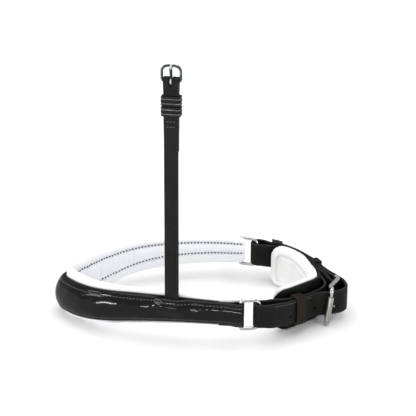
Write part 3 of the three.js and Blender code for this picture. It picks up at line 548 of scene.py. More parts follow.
@dataclass
class Nosepiece:
    """The padded nosepiece: its lining and foam, backing, core and glossy cover."""

    reach: float = 127.2
    half_width: float = 65.0
    ring_height: float = 27.3
    edge_up: float = 12.7
    edge_down: float = 8.8
    top_rise: float = 2.7
    floor_cut: float = 0.5
    lean_angle: float = 6.5
    backing: float = 2.5
    gap: float = 0.3
    lining: float = 8.6
    edge_turn: float = 0.5
    cover: float = 1.2
    cover_bulge: float = 4.2
    cover_bulge_at_ring: float = 2.4
    end_spread: float = 2.2
    end_run: float = 18.0
    chape_length: float = 20.0
    sewn_high: float = 0.6
    sewn_low: float = -0.12
    sewn_low_at_nose: float = -0.46
    far_rise: float = 2.4
    lip_drop: float = 1.9
    lip_out: float = 3.6
    overhang: float = 2.5
    nose_drop: float = 2.6
    nose_lift: float = 1.7
    nose_tuck: float = 2.0
    lining_wall: float = 2.3
    channel: float = 1.4
    channel_width: float = 1.5
    panel: float = 0.5
    panel_width: float = 4.0
    panel_swell: float = 0.9
    wrinkle: float = 0.85
    end_tuck: float = 0.16
    top_inset: float = 2.0
    top_inset_gain: float = 5.2
    foot_inset_gain: float = 6.4
    backing_rise: float = 0.15
    backing_cut: float = 0.1
    backing_round: float = 0.45
    seam_in: float = 3.1
    groove: float = 0.62
    groove_width: float = 0.85
    flange: float = 0.35
    cheek_lift: float = 3.3
    cheek_lift_width: float = 11.4
    pocket: float = 3.0
    pocket_width: float = 7.6
    pocket_floor: float = 0.25
    plan: tuple = (
        (0.211, -0.977), (0, -0.923), (-0.25, -0.838), (-0.469, -0.738), (-0.688, -0.608),
        (-0.828, -0.454), (-0.938, -0.246), (-1, -0.031), (-0.969, 0.154), (-0.891, 0.354),
        (-0.773, 0.585), (-0.57, 0.831), (-0.32, 0.954), (0, 1.02), (0.23, 1.005),
    )
    fine: Band = field(init=False)
    length: float = field(init=False)

    def __post_init__(self) -> None:
        """Work out the line round the nose."""
        points = np.array([[x * self.reach, y * self.half_width, 0.0] for x, y in self.plan])
        self.fine = Band.through(Curve(points).spaced(480), 1)
        self.length = float(self.fine.distance[-1])

    def wave(self, d: Array) -> Array:
        """Rise from 0 at each ring to 1 at the nose, as a sine."""
        return np.sin(math.pi * d / self.length)

    def top(self, d: Array) -> Array:
        """Height of the top edge."""
        rise = 1 - (1 - self.wave(d) ** 2) ** 4
        return self.ring_height + self.edge_up + self.top_rise * rise

    def bottom(self, d: Array) -> Array:
        """Height of the lower edge, which reaches the floor at the nose."""
        ring = self.ring_height - self.edge_down
        return ring - (ring + self.floor_cut) * np.abs(self.wave(d)) ** 3.9

    def lean(self, d: Array, height: Array) -> Array:
        """How far the band leans out below its middle."""
        slope = math.tan(math.radians(self.lean_angle)) * self.wave(d) ** 4
        return slope * ((self.top(d) + self.bottom(d)) / 2 - height)

    def spread(self, d: Array) -> Array:
        """How far the layers part at the rings."""
        return self.end_spread * smooth(1 - self.to_end(d) / self.end_run)

    def to_end(self, d: Array) -> Array:
        """Distance to the nearer ring."""
        return np.minimum(d, self.length - d)

    def cover_high(self, d: Array) -> Array:
        """Height of the cover's top edge, which dips just past the nose."""
        dip = self.nose_drop * bump(d, 0.54 * self.length, 0.06 * self.length)
        return self.top(d) - self.top_inset - self.top_inset_gain * self.wave(d) ** 4 - dip

    def cover_low(self, d: Array) -> Array:
        """Height of the cover's lower edge."""
        return self.bottom(d) + self.foot_inset_gain * np.abs(self.wave(d)) ** 5

    def cover_span(self, d: Array) -> tuple[Array, Array]:
        """Half the cover's height, and the height of its middle."""
        high, low = self.cover_high(d), self.cover_low(d)
        return (high - low) / 2, (high + low) / 2

    def roll_span(self, d: Array) -> tuple[Array, Array]:
        """Half the lining's height, and the height of its middle."""
        high, low = self.lining_top(d), self.lining_bottom(d)
        return (high - low) / 2, (high + low) / 2

    def place(self, d: Array, out: Array, height: Array) -> Array:
        """Find points of the nosepiece.

        Args:
            d: Distance along it, (n,).
            out: How far out of the backing's middle, (n, m).
            height: Height, (n, m).

        Returns:
            The points, (n, m, 3), with the band's lean added.
        """
        here = self.fine.at(d)
        past = np.clip(d, 0, self.length)
        here.centre = here.centre + here.tangent * (d - past)[:, None]
        return here.out(out + self.lean(past[:, None], height), height)

    def lining_top(self, d: Array) -> Array:
        """Height of the lining's top edge, which hides the cover's on the far side."""
        return self.top(d) + self.far_rise * smooth((d / self.length - 0.55) / 0.3)

    def lining_bottom(self, d: Array) -> Array:
        """Height of the lining's lower edge, which hangs below the cover's."""
        lift = self.nose_lift * smooth((self.wave(d) - 0.84) / 0.14)
        return self.bottom(d) - self.lip_drop * smooth(self.to_end(d) / self.end_run) + lift

    def sewn_shares(self, d: Array) -> tuple[Array, Array]:
        """Find the lower and upper seams as shares of the lining's half height."""
        low = mix(self.sewn_low, self.sewn_low_at_nose, np.clip(self.wave(d), 0, 1) ** 3)
        return low, self.sewn_high + 0 * d

    def wrinkles(self, d: Array, share: Array) -> Array:
        """Depth of the upright wrinkles inside the bend of the nose.

        Three sines of 6 to 15 mm along the band, bent a little with height, strongest just
        past the nose on the far side and fading out towards the rings and at the edges.

        Args:
            d: Distances, (n, 1).
            share: Places from the lower edge, -1, to the top edge, 1, (1, m).

        Returns:
            The depths, (n, m).
        """
        bend = bump(d, 0.53 * self.length, 62.0) + 0.35 * bump(d, 0.36 * self.length, 34.0)
        sway = d + 2.4 * np.sin(2.1 * share + d / 23.0)
        ripple = (
            0.5 * np.sin(sway * 2 * math.pi / 6.1)
            + 0.34 * np.sin(sway * 2 * math.pi / 9.7 + 1.3)
            + 0.3 * np.sin(d * 2 * math.pi / 14.9 + 3.0 * share)
        )
        return self.wrinkle * bend * ripple * (1 - np.abs(share) ** 3)

    def roll_section(self, d: Array, share: Array, drawn_in: float = 0.0) -> tuple:
        """Work out the padded roll's inner and outer faces.

        The faces lie off a middle line that turns out at the edges. Their depth is the
        belly times the root of 1 - share^6, with bell-curve channels where it is sewn, and
        the panels between the channels swell by a cosine.

        Args:
            d: Distances, (n, 1).
            share: Places from the lower edge, -1, to the top edge, 1, (1, m).
            drawn_in: How much smaller all round.

        Returns:
            How far out the inner face and the outer face are, (n, m) each.
        """
        half, middle = self.roll_span(d)
        height = middle + share * half
        low, high = self.sewn_shares(d)
        back = -self.backing / 2 - self.gap - self.spread(d) - 0 * share
        belly = self.lining / 2
        # Below the backing the roll turns out under the cover's lower edge
        lip = smooth((self.cover_low(d) - 0.2 - height) / 1.6) * smooth((-share - 0.5) / 0.35)
        lip = lip * (1 - 0.85 * smooth((self.wave(d) - 0.8) / 0.17))
        centre = back - belly * (1 - self.edge_turn * share**4) + self.lip_out * 0.8 * lip
        tucked = smooth((self.wave(d) - 0.8) / 0.16) * smooth((-share - 0.4) / 0.5)
        centre = centre - self.nose_tuck * tucked
        depth = (belly - drawn_in) * np.sqrt(np.clip(1 - np.abs(share) ** 6, 0, 1))
        channel = 0.0
        for seam in (low, high):
            away = (share - seam) * half
            channel = channel + self.channel * bump(away, 0.0, self.channel_width)
            channel = channel + self.panel * bump(away, 0.0, self.panel_width)
        between = np.clip((share - low) / (high - low), 0, 1)
        swell = self.panel_swell * np.sin(between * math.pi) ** 2
        folds = self.wrinkles(d, share)
        ease = np.clip(1 - drawn_in, 0, 1)
        inner = centre - depth - swell * ease + (channel + folds) * ease
        outer = np.minimum(centre + depth, back - drawn_in + self.lip_out * lip)
        return inner, outer

    def build_lining(self) -> Piece:
        """Make the soft white roll round the padding.

        Returns:
            The piece, from the roll's section at 420 distances along the nosepiece.
        """
        d = np.linspace(0, self.length + self.overhang, 420)
        t = np.linspace(-1, 1, 55)
        share = np.sin(t * math.pi / 2)[None, :]
        column = np.clip(d, 0, self.length)[:, None]
        inner, outer = self.roll_section(column, share)
        half, middle = self.roll_span(column)
        height = middle + share * half
        odd = slice(1, -1, 2)
        out, high = and_back(inner, outer[:, odd]), and_back(height, height[:, odd])
        # The roll draws in where each end is turned and sewn down
        to_end = np.minimum(d, self.length + self.overhang - d)[:, None]
        tuck = 1 - self.end_tuck * bump(to_end, 0.0, 1.6)
        centre_out = out.mean(axis=1, keepdims=True)
        out = centre_out + (out - centre_out) * tuck
        grid = self.place(d, out, np.maximum(middle + (high - middle) * tuck, 0.0))
        shares = and_back(share, share[:, odd])
        face = np.where(np.arange(grid.shape[1]) < len(t), np.abs(shares), 1.0)
        obj = skin("nose_lining_roll", grid, flow=flow_of(d[:, None], shares * half, face))
        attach(obj, "noseband")
        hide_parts("nose_lining")
        return obj

    def build_foam(self) -> Piece:
        """Make the padding: the lining's form, smaller all round by the lining's wall.

        Returns:
            The piece.
        """
        inset = self.chape_length + self.gap + 1.0
        d = np.linspace(inset, self.length - inset, 160)
        share = np.sin(np.linspace(-1, 1, 21) * math.pi / 2)[None, :]
        column = d[:, None]
        inner, outer = self.roll_section(column, share, drawn_in=self.lining_wall)
        half, middle = self.roll_span(column)
        height = np.maximum(middle + share * (half - self.lining_wall), 1.2)
        odd = slice(1, -1, 2)
        out, high = and_back(inner, outer[:, odd]), and_back(height, height[:, odd])
        obj = skin("nose_foam_filling", self.place(d, out, high))
        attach(obj, "noseband")
        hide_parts("nose_foam")
        return obj

    def build_backing(self) -> Piece:
        """Make the leather strap between the lining and the cover.

        Returns:
            The piece: level faces whose edges round off by a 14th power.
        """
        inset = self.chape_length + self.gap
        d = np.linspace(inset, self.length - inset, 240)
        column = d[:, None]
        high = self.cover_high(column) + self.backing_rise
        low = self.cover_low(column) + self.backing_cut
        t = np.linspace(-1, 1, 9)[None, :]
        height = (high + low) / 2 + t * (high - low) / 2
        face = self.backing / 2 - self.backing_round * np.abs(t) ** 14 + 0 * height
        grid = self.place(d, and_back(face, -face), and_back(height, height))
        obj = skin("nose_backing_strap", grid)
        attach(obj, "noseband")
        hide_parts("nose_backing")
        return obj

    def stand(self, d: Array, share: Array, cheek: float) -> Array:
        """How far the cover's inner face stands off the backing.

        The bulge is 1 - share^2.2 of its height, fuller towards the nose, and it lifts over the
        cheek strap's end.

        Args:
            d: Distances, (n, 1).
            share: Places from the lower edge, -1, to the top edge, 1, (1, m) or (n, 1).
            cheek: Distance of the cheek strap.

        Returns:
            How far, for each distance and place.
        """
        full = smooth(self.to_end(d) / (3 * self.end_run))
        bulge = mix(self.cover_bulge_at_ring, self.cover_bulge, full)
        over_cheek = np.exp(-(((d - cheek) / self.cheek_lift_width) ** 4))
        lift = self.cheek_lift * over_cheek * smooth(share + 0.45)
        form = 1 - np.abs(share) ** 2.2
        return self.spread(d) + bulge * form + lift

    def build_cover(self, cheek: float) -> tuple[Piece, dict]:
        """Make the glossy front: a wall off its inner face, less a groove where it is sewn.

        Args:
            cheek: Distance of the cheek strap.

        Returns:
            The piece, and its upper and lower stitch lines with the ways out of them.
        """
        d = np.linspace(0, self.length, 460)
        column = d[:, None]
        half, middle = self.cover_span(column)
        share = np.concatenate([[-1.0], np.linspace(-0.985, 0.985, 53), [1.0]])[None, :]
        from_edge = (1 - np.abs(share)) * half
        groove = self.groove * bump(from_edge, self.seam_in, self.groove_width)
        flange = self.flange * smooth((self.seam_in - from_edge) / self.seam_in)
        # Hand-pulled leather isn't quite even: waves of 17 and 43 mm along it
        turns = column * 2 * math.pi
        ripple = 0.10 * np.sin(turns / 17.0 + 3 * share) * smooth(from_edge / 6)
        ripple = ripple + 0.16 * np.sin(turns / 43.0 + 1.0 - 2 * share) * smooth(from_edge / 8)
        inner = self.backing / 2 + self.gap + self.stand(column, share, cheek)
        rounding = 0.55 * smooth(1 - from_edge / 0.8)
        outer = inner + self.cover - groove - flange + ripple - rounding
        height = middle + share * half
        heights = and_back(height, height)
        grid = self.place(d, and_back(inner, outer), heights)
        obj = skin("nose_cover_patent", grid, flow=flow_of(column, heights - middle, 0.0))
        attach(obj, "noseband")
        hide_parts("nose_patent_cover")
        lines = {}
        for name, sign in (("top", 1), ("bottom", -1)):
            place = (sign * (1 - self.seam_in / half))[:, :1]
            base = self.backing / 2 + self.gap + self.stand(column, place, cheek)
            out = base + self.cover - self.groove - 0.2
            points = self.place(d, out, middle + place * half)[:, 0]
            lines[name] = (points, self.fine.at(d).across)
        return obj, lines

    def build_core(self, cheek: float) -> Piece:
        """Make the shaped layer under the cover, hollowed for the cheek strap's end.

        Args:
            cheek: Distance of the cheek strap.

        Returns:
            The piece.
        """
        inset = self.chape_length + self.gap
        d = np.linspace(inset, self.length - inset, 260)
        column = d[:, None]
        half, middle = self.cover_span(column)
        share = np.linspace(-0.86, 0.86, 25)[None, :]
        flat = self.backing / 2 + self.gap
        by_cheek = np.exp(-(((column - cheek) / self.pocket_width) ** 8))
        pocket = self.pocket * by_cheek * smooth((share + 0.2) * 6)
        top = flat + self.stand(column, share, cheek) - self.gap
        base = np.minimum(flat + pocket, top - self.pocket_floor)
        height = middle + share * half
        grid = self.place(d, and_back(base, top), and_back(height, height))
        obj = skin("nose_core_shaped", grid)
        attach(obj, "noseband")
        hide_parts("nose_raised_core")
        return obj

    def sewn_line(self, sign: int) -> tuple[Array, Array]:
        """Find a stitch line inside the lining.

        Args:
            sign: 1 for the upper row, -1 for the lower.

        Returns:
            Points along it, and the ways out of the surface there.
        """
        d = np.linspace(1.2, self.length + self.overhang - 1.2, 400)
        column = np.clip(d, 0, self.length)[:, None]
        share = self.sewn_shares(column)[1 if sign > 0 else 0]
        inner, _ = self.roll_section(column, share)
        half, middle = self.roll_span(column)
        points = self.place(d, inner - 0.05, middle + share * half)[:, 0]
        return points, -self.fine.at(d).across


@dataclass
class Rings:
    """The two dee rings and the folded chapes that hold them to the nosepiece."""

    nose: Nosepiece
    wire: float = 3.0
    inner_height: float = 22.6
    reach: float = 16.0
    corner: float = 6.0
    bar_inset: float = 2.0
    near_turn: float = 12.0
    far_turn: float = 14.0
    chape_height: float = 21.0

    def place(self, far: bool) -> dict:
        """Find a ring's bar, bow and heading.

        Args:
            far: Whether it is the far ring.

        Returns:
            Its bar, the way out of the nosepiece, its heading and its bow.
        """
        d = self.nose.length - self.bar_inset if far else self.bar_inset
        here = self.nose.fine.at(d)
        away = here.tangent[0] * (1 if far else -1)
        heading = turned(away, -self.far_turn if far else self.near_turn)
        bar = here.centre[0]
        bow = bar + heading * self.reach
        return {"bar": bar, "away": away, "heading": heading, "bow": bow, "far": far}

    def build_ring(self, far: bool) -> Piece:
        """Bend a ring's wire: four quarter circles, small ones at the bar.

        Args:
            far: Whether it is the far ring.

        Returns:
            The ring.
        """
        spot = self.place(far)
        half = (self.inner_height + self.wire) / 2
        small, bend = self.wire * 0.62, self.reach - self.corner
        arcs = [
            (bend, half - self.corner, self.corner, 0, 90, 12),
            (small, half - small, small, 90, 180, 6),
            (small, small - half, small, 180, 270, 6),
            (bend, self.corner - half, self.corner, 270, 360, 12),
        ]
        path = []
        for along, high, radius, start, end, steps in arcs:
            a = np.radians(np.linspace(start, end, steps + 1))
            x = along + radius * np.cos(a)
            z = self.nose.ring_height + high + radius * np.sin(a)
            path.append(spot["bar"] + spot["heading"] * x[:, None] + UP * z[:, None])
        side = turned(spot["heading"], 90)
        name = "far" if far else "near"
        grid = wire(np.vstack(path), side, self.wire / 2, True, 24)
        obj = skin(name + "_dee_ring_wire", grid, True)
        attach(obj, name + "_ring")
        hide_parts(name + "_dee_ring")
        return obj

    def build_chape(self, far: bool) -> Piece:
        """Fold a strip of leather round a ring's bar, its two plies lying together.

        Args:
            far: Whether it is the far ring's.

        Returns:
            The chape: the strip's section, carried along the plies and an arc round the bar.
        """
        spot = self.place(far)
        thick = (self.nose.backing - self.nose.gap) / 2
        ply = (thick + self.nose.gap) / 2
        round_bar = self.wire / 2 + self.nose.gap + thick / 2
        lengths = np.linspace(self.nose.chape_length - self.bar_inset, round_bar * 1.3, 14)
        opened = smooth(1 - (lengths - round_bar * 1.3) / (round_bar * 2.4))
        outs = mix(ply, round_bar * 0.92, opened)
        d = self.bar_inset + lengths
        here = self.nose.fine.at(self.nose.length - d if far else d)
        sign = 1 if far else -1
        angle = sign * np.linspace(112, -112, 25)
        loop = spot["bar"] + turned(np.broadcast_to(spot["away"], (25, 3)), angle) * round_bar
        front, back = here.out(outs, 0 * outs), here.out(-outs, 0 * outs)[::-1]
        path = np.vstack([front, loop * [1, 1, 0], back])
        band = Band.through(path, 1)
        outline = strip_outline(self.chape_height, thick, 0.45, 0.0)
        outs, ups = outline[:, 0], self.nose.ring_height + outline[:, 1]
        grid = band.out(np.tile(outs, (len(path), 1)), np.tile(ups, (len(path), 1)))
        name = "far" if far else "near"
        flow = flow_of(band.distance[:, None], outline[:, 1], outline[:, 0])
        obj = skin(name + "_ring_chape_fold", grid, flow=flow)
        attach(obj, "noseband")
        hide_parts(name + "_ring_chape")
        return obj


@dataclass
class ChinStrap:
    """The chin strap: one length of leather, doubled back through both rings."""

    rings: Rings
    chin_length: float = 57.0
    droop: float = 7.5
    gap: float = 0.3
    ease: float = 0.4
    width: float = 21.5
    thickness: float = 2.6
    edge: float = 0.7
    near_fold: float = 4.5
    far_fold: float = 6.2
    bulge: float = 10.4
    return_length: float = 24.0
    hole_width: float = 3.0
    hole_length: float = 2.9
    tongue_hole: float = 7.0
    spare_width: float = 2.3
    fold_draw: float = 0.05
    hole_spacing: float = 17.5
    bar_share: float = 0.525
    roller_share: float = 0.389
    tail_end: float = 0.92
    chin_wire: float = 3.6
    roller: float = 5.2
    roller_length: float = 23.0
    roller_drop: float = 4.1
    roller_tilt: float = 3.0
    tongue_wire: float = 2.4
    tongue_ease: float = 0.8
    edge_round: float = 0.8
    crease: float = 0.3
    point: float = 9.0
    point_width: float = 0.62
    fold_reach: float = 9.0
    punch: float = 5.2
    # Where it is sewn: name, first row of its band, the row after the last, which crease
    seams: tuple = (
        ("return_upper", 0, 15, 1), ("return_lower", 0, 15, -1), ("tail_upper", 302, 338, 1),
    )
    plan: tuple = (
        (0.088, -0.871, 0.6, 0.95), (0.175, -0.837, 0.5, 0.95), (0.316, -0.785, 0.33, 0.8),
        (0.421, -0.726, 0.12, 0.62), (0.496, -0.675, 0.03, 0.5), (0.67, -0.526, 0.03, 0.34),
        (0.816, -0.4, 0.08, 0.24), (0.921, -0.3, 0.72, 0.19), (0.986, -0.2, 1.44, 0.2),
        (0.998, -0.108, 1.38, 0.22), (0.97, 0.015, 1.1, 0.14), (0.923, 0.146, 0.84, 0.06),
        (0.86, 0.331, 0.58, 0.04), (0.795, 0.495, 0.53, 0.04), (0.702, 0.631, 0.51, 0.08),
        (0.561, 0.769, 0.51, 0.1), (0.439, 0.828, 0.51, 0.1), (0.316, 0.846, 0.55, 0.1),
        (0.175, 0.835, 0.85, 0.1),
    )

    def __post_init__(self) -> None:
        """Work out the strap's line, its layers' lifts and the buckle's bar and roller."""
        nose = self.rings.nose
        self.near, self.far = self.rings.place(False), self.rings.place(True)
        self.pitch = self.thickness + self.gap
        ring = self.rings
        corner = self.width / 2 - self.edge - (ring.inner_height + ring.wire) / 2 + ring.corner
        returned = ring.corner - math.sqrt(ring.corner**2 - corner**2)
        self.fold_gap = self.thickness / 2 + 2 * self.ease + ring.wire / 2 + returned
        self.rings_x = (self.near["bow"][0] + self.far["bow"][0]) / 2
        rows = [
            (self.fold_point(self.near, -90)[0], 2 * self.near_fold - self.pitch, self.bulge),
            *(
                (np.array([self.rings_x + x * self.chin_length, y * nose.half_width, 0.0]),
                 lift * self.bulge, pad * self.bulge)
                for x, y, lift, pad in self.plan
            ),
            (self.fold_point(self.far, -90)[0], 2 * self.far_fold - self.pitch, self.bulge),
        ]
        self.line = Curve(np.array([row[0] for row in rows]))
        self.lifts = Curve(np.array([[row[1], row[2], 0.0] for row in rows]), even=True)
        self.loop_radius = self.chin_wire / 2 + self.ease + self.thickness / 2
        spot, across, tangent = self.chape_frame(self.bar_share)
        self.bar_across, self.bar_tangent = across, tangent
        self.bar = spot - across * self.loop_radius
        shares = np.linspace(0, self.tail_end, 481)
        self.tail = Band.through(self.beside(shares, self.outer_lift(shares)), -1)
        here = self.tail_at(self.roller_share)
        out = self.thickness / 2 + self.gap + self.roller / 2
        self.roller_at = here.centre[0] + here.across[0] * out
        self.roller_at[2] = self.middle(here.centre[0, 0]) - self.roller_drop
        self.roller_tangent = here.tangent[0]
        lean = here.tangent[0] * self.roller_tilt
        lean[2] = self.roller_length
        self.roller_lean = unit(lean)
        self.tongue_height = self.middle(self.bar[0]) - self.roller_drop * 0.7
        self.tongue_eye = np.array([self.bar[0], self.bar[1], self.tongue_height])
        up = (self.tongue_height - self.roller_at[2]) / self.roller_lean[2]
        tip = self.roller_at + self.roller_lean * up
        tip = tip + self.bar_across * (self.roller / 2 + self.tongue_ease + self.tongue_wire / 2)
        self.tongue_tip = np.array([tip[0], tip[1], self.tongue_height])

    def fold_point(self, spot: dict, angle: Array) -> Array:
        """Find points of a fold round a ring.

        Args:
            spot: The ring's place.
            angle: Degrees round the fold: -90 its inner layer, 0 its tip, 90 its outer.

        Returns:
            The points, on a circle.
        """
        radius = self.far_fold if spot["far"] else self.near_fold
        centre = spot["bow"] + spot["heading"] * (radius - self.fold_gap)
        sign = -1 if spot["far"] else 1
        angle = row(angle)
        heading = np.broadcast_to(spot["heading"], (len(angle), 3))
        return centre + turned(heading, 180 + sign * angle) * radius

    def frames(self, share: Array) -> tuple[Array, Array, Array]:
        """Find the inner layer's frames.

        Args:
            share: Shares of its line.

        Returns:
            Its points, outward ways and tangents.
        """
        share = row(share)
        step = 1e-4
        tangent = self.line.at(share + step) - self.line.at(share - step)
        tangent[:, 2] = 0
        tangent = unit(tangent)
        across = np.stack([tangent[:, 1], -tangent[:, 0], 0 * tangent[:, 0]], axis=1)
        return self.line.at(share), across, tangent

    def beside(self, share: Array, out: Array) -> Array:
        """Find points beside the inner layer, on the ground.

        Args:
            share: Shares of its line.
            out: How far out of it, one or one for each share.

        Returns:
            The points.
        """
        centre, across, _ = self.frames(share)
        out = np.broadcast_to(np.asarray(out, dtype=float), (len(centre),))
        points = centre + across * out[:, None]
        points[:, 2] = 0
        return points

    def outer_lift(self, share: Array) -> Array:
        """How far the outer layer stands off the inner one."""
        return self.pitch + self.lifts.at(share)[:, 0]

    def pad_lift(self, share: Array) -> Array:
        """How far the jaw pad stands in from the inner layer."""
        return self.lifts.at(share)[:, 1]

    def chape_lift(self, share: Array) -> Array:
        """How far the ply that the buckle hangs on stands off the inner one."""
        released = smooth((row(share) - self.tail_end) / (1 - self.tail_end))
        return self.outer_lift(share) - self.pitch * (1 - released)

    def chape_frame(self, share: Array) -> tuple[Array, Array, Array]:
        """Find the frames of the ply that the buckle hangs on.

        Args:
            share: A share of the line, or several.

        Returns:
            Its point, outward way and tangent, or a row of each.
        """
        step = 1 / 240
        share = row(share)
        at = self.beside(share, self.chape_lift(share))
        ahead = self.beside(share + step, self.chape_lift(share + step))
        behind = self.beside(share - step, self.chape_lift(share - step))
        tangent = unit(ahead - behind)
        across = np.stack([tangent[:, 1], -tangent[:, 0], 0 * tangent[:, 0]], axis=1)
        if len(share) == 1:
            return at[0], across[0], tangent[0]
        return at, across, tangent

    def middle(self, x: Array) -> Array:
        """Height of the strap's middle, which droops towards the chin."""
        height = self.rings.nose.ring_height
        return height - self.droop * smooth((x - self.rings_x) / (self.chin_length * 0.92))

    def tail_at(self, share: float) -> Band:
        """Find the outer layer's frame.

        Args:
            share: A share of the line.

        Returns:
            A band of one row.
        """
        place = share / self.tail_end * (len(self.tail.distance) - 1)
        distance = np.interp(place, np.arange(len(self.tail.distance)), self.tail.distance)
        return self.tail.at(distance)

    def path(self) -> Array:
        """Lay out the strap's whole line.

        Returns:
            Points on the ground, from the chape's end to the tail's tip.
        """
        end = self.bar_share + self.return_length / self.line.length()
        back = np.linspace(end, self.bar_share + 0.02, 16)
        opened = 1 - smooth((back - self.bar_share) / (end - self.bar_share) * 1.6)
        drop = mix(self.pitch, 2 * self.loop_radius, opened)
        at, across, _ = self.chape_frame(back)
        return_ply = at - across * drop[:, None]
        angle = -np.linspace(165, 15, 17)
        spokes = turned(np.broadcast_to(self.bar_across, (17, 3)), angle)
        loop = self.bar + spokes * self.loop_radius
        out = np.linspace(self.bar_share + 0.015, 1, 70)
        chape = self.beside(out, self.chape_lift(out))
        inner = self.beside(np.linspace(1, 0, 150), 0.0)
        tail = np.concatenate([
            np.linspace(0, 0.35, 50), np.linspace(0.35, 0.57, 84)[1:],
            np.linspace(0.57, self.tail_end, 46)[1:],
        ])
        outer = self.beside(tail, self.outer_lift(tail))
        far = self.fold_point(self.far, np.linspace(90, -90, 22)[1:-1])
        near = self.fold_point(self.near, np.linspace(-90, 90, 22)[1:-1])
        points = np.vstack([return_ply, loop, chape, far, inner, near, outer])
        points[:, 2] = 0
        return points

    def crossing(self) -> float:
        """Find where the tongue passes through the outer layer.

        Returns:
            The share of the line at which the layer lies nearest to the tongue's pin.
        """
        along = unit(self.tongue_tip - self.tongue_eye)
        shares = np.linspace(self.roller_share, self.bar_share, 241)
        points = np.vstack([self.tail_at(s).centre for s in shares])
        off = (points - self.tongue_eye) * [1, 1, 0]
        off = off - along * (off @ along)[:, None]
        return float(shares[np.argmin(np.linalg.norm(off, axis=1))])

    def build_strap(self) -> tuple[Piece, Band]:
        """Cut, fold and punch the strap.

        Returns:
            The strap, and the band that its section was carried along.
        """
        band = Band.through(self.path(), 1)
        outline = strip_outline(self.width, self.thickness, self.edge_round, self.crease)
        outline = outline * [-1, 1]
        rows = len(band.distance)
        middle = self.middle(band.centre[:, 0])[:, None]
        tip = band.distance[-1] - band.distance
        # The tail's end is cut to a blunt point, a quarter of an ellipse from each edge
        cut = np.sqrt(1 - (1 - np.minimum(tip / self.point, 1.0)) ** 2)
        narrow = self.point_width + (1 - self.point_width) * cut
        # The edges are drawn in a little at the folds, clear of the rings' corners
        for spot in (self.near, self.far):
            away = np.linalg.norm((band.centre - spot["bow"])[:, :2], axis=1)
            narrow = narrow * (1 - self.fold_draw * np.exp(-((away / self.fold_reach) ** 4)))
        up = middle + outline[None, :, 1] * narrow[:, None]
        grid = band.out(np.tile(outline[:, 0], (rows, 1)), up)
        flow = flow_of(band.distance[:, None], outline[:, 1], outline[:, 0])
        obj = skin("chin_strap_leather", grid, flow=flow)
        share = self.crossing()
        holes = [(self.tail_at(share), self.tongue_height, self.tongue_hole, self.hole_width)]
        run = self.tail.distance[-1] / self.tail_end
        drop = self.tongue_height - self.middle(self.tongue_tip[0])
        for i in range(1, 4):
            here = self.tail_at(share - i * self.hole_spacing / run)
            height = float(self.middle(here.centre[0, 0]) + drop)
            holes.append((here, height, self.hole_length, self.spare_width))
        cutters = []
        for here, height, length, wide in holes:
            centre = here.centre[0] * [1, 1, 0] + UP * height
            along, out = here.tangent[0], here.across[0]
            cutters.append(oval_cutter(centre, along, out, length, wide, self.punch))
        # The slot in the fold for the tongue's eye
        size = 1.05 * 2 * (self.chin_wire / 2 + self.gap + self.tongue_wire + self.gap)
        tall = self.tongue_wire + 4 * self.gap
        cutters.append(oval_cutter(self.tongue_eye, self.bar_tangent, UP, size, size, tall))
        bored(obj, cutters)
        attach(obj, "noseband")
        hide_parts("chin_strap")
        return obj, band

    def edge_seam(self, band: Band, start: int, stop: int, sign: int) -> tuple[Array, Array]:
        """Find a stitch line in one of the strap's creases.

        Args:
            band: The band that the strap was carried along.
            start: First row.
            stop: Row after the last.
            sign: 1 for the upper crease, -1 for the lower.

        Returns:
            Points on the grain side, and the ways out of it.
        """
        rows = slice(start, stop)
        out = -(self.thickness / 2 - self.crease)
        points = band.centre[rows] + band.across[rows] * out
        points[:, 2] = self.middle(points[:, 0]) + sign * (self.width / 2 - CREASE_INSET)
        return points, -band.across[rows]


# ---- The chin buckle and the keepers ----


def rounded_path(corners: Array, cut_back: list[float], steps: int) -> list[Array]:
    """Round each corner of a closed path with a parabola.

    Args:
        corners: The corners in order, (n, 3).
        cut_back: How far back along each side a corner's curve starts.
        steps: Steps in each curve.

    Returns:
        For each corner, the points of (1-t)^2 before + 2t(1-t) corner + t^2 after.
    """
    bends = []
    t = np.linspace(0, 1, steps + 1)[:, None]
    for i, corner in enumerate(corners):
        ends = []
        for other in (corners[i - 1], corners[(i + 1) % len(corners)]):
            run = other - corner
            size = float(np.linalg.norm(run))
            ends.append(corner + run / size * min(cut_back[i], size / 2 - 0.15))
        bends.append((1 - t) ** 2 * ends[0] + 2 * t * (1 - t) * corner + t**2 * ends[1])
    return bends


def wire_tongue(
    name: str, eye: Array, axis: Array, bore: float, radius: float, tip: Array, tip_radius: float
) -> Piece:
    """Make a buckle's tongue: an eye round the bar and a tapered pin with a round tip.

    Args:
        name: The piece's name.
        eye: Middle of the eye.
        axis: The bar's direction.
        bore: Radius of the eye's hole.
        radius: Radius of the wire.
        tip: Where the pin ends.
        tip_radius: Radius of the wire there.

    Returns:
        The piece.
    """
    forward = unit(tip - eye)
    outward = unit(np.cross(forward, axis))
    length = float(np.linalg.norm(tip - eye))
    a = np.linspace(0, 2 * math.pi, 48, endpoint=False)[:, None]
    ring = eye + (bore + radius) * (forward * np.cos(a) + outward * np.sin(a))
    obj = skin(name, wire(ring, axis, radius, True, 16), True)
    start = (bore + radius) / length
    quarter = np.linspace(0, math.pi / 2, 8)
    round_end = 1 - radius * np.cos(quarter) / length
    share = np.concatenate([np.linspace(start, round_end[0], 12)[:-1], round_end])
    size = mix(radius, tip_radius, share)
    size[-len(quarter):] *= np.maximum(np.cos(quarter), 0.06)
    pin = skin("pin", wire(eye + forward * (share * length)[:, None], axis, size, False, 16))
    join = obj.modifiers.new("join", "BOOLEAN")
    join.operation, join.solver, join.object = "UNION", "EXACT", pin
    applied(obj)
    bpy.data.objects.remove(pin)
    tidy_faces(obj.data)
    return obj


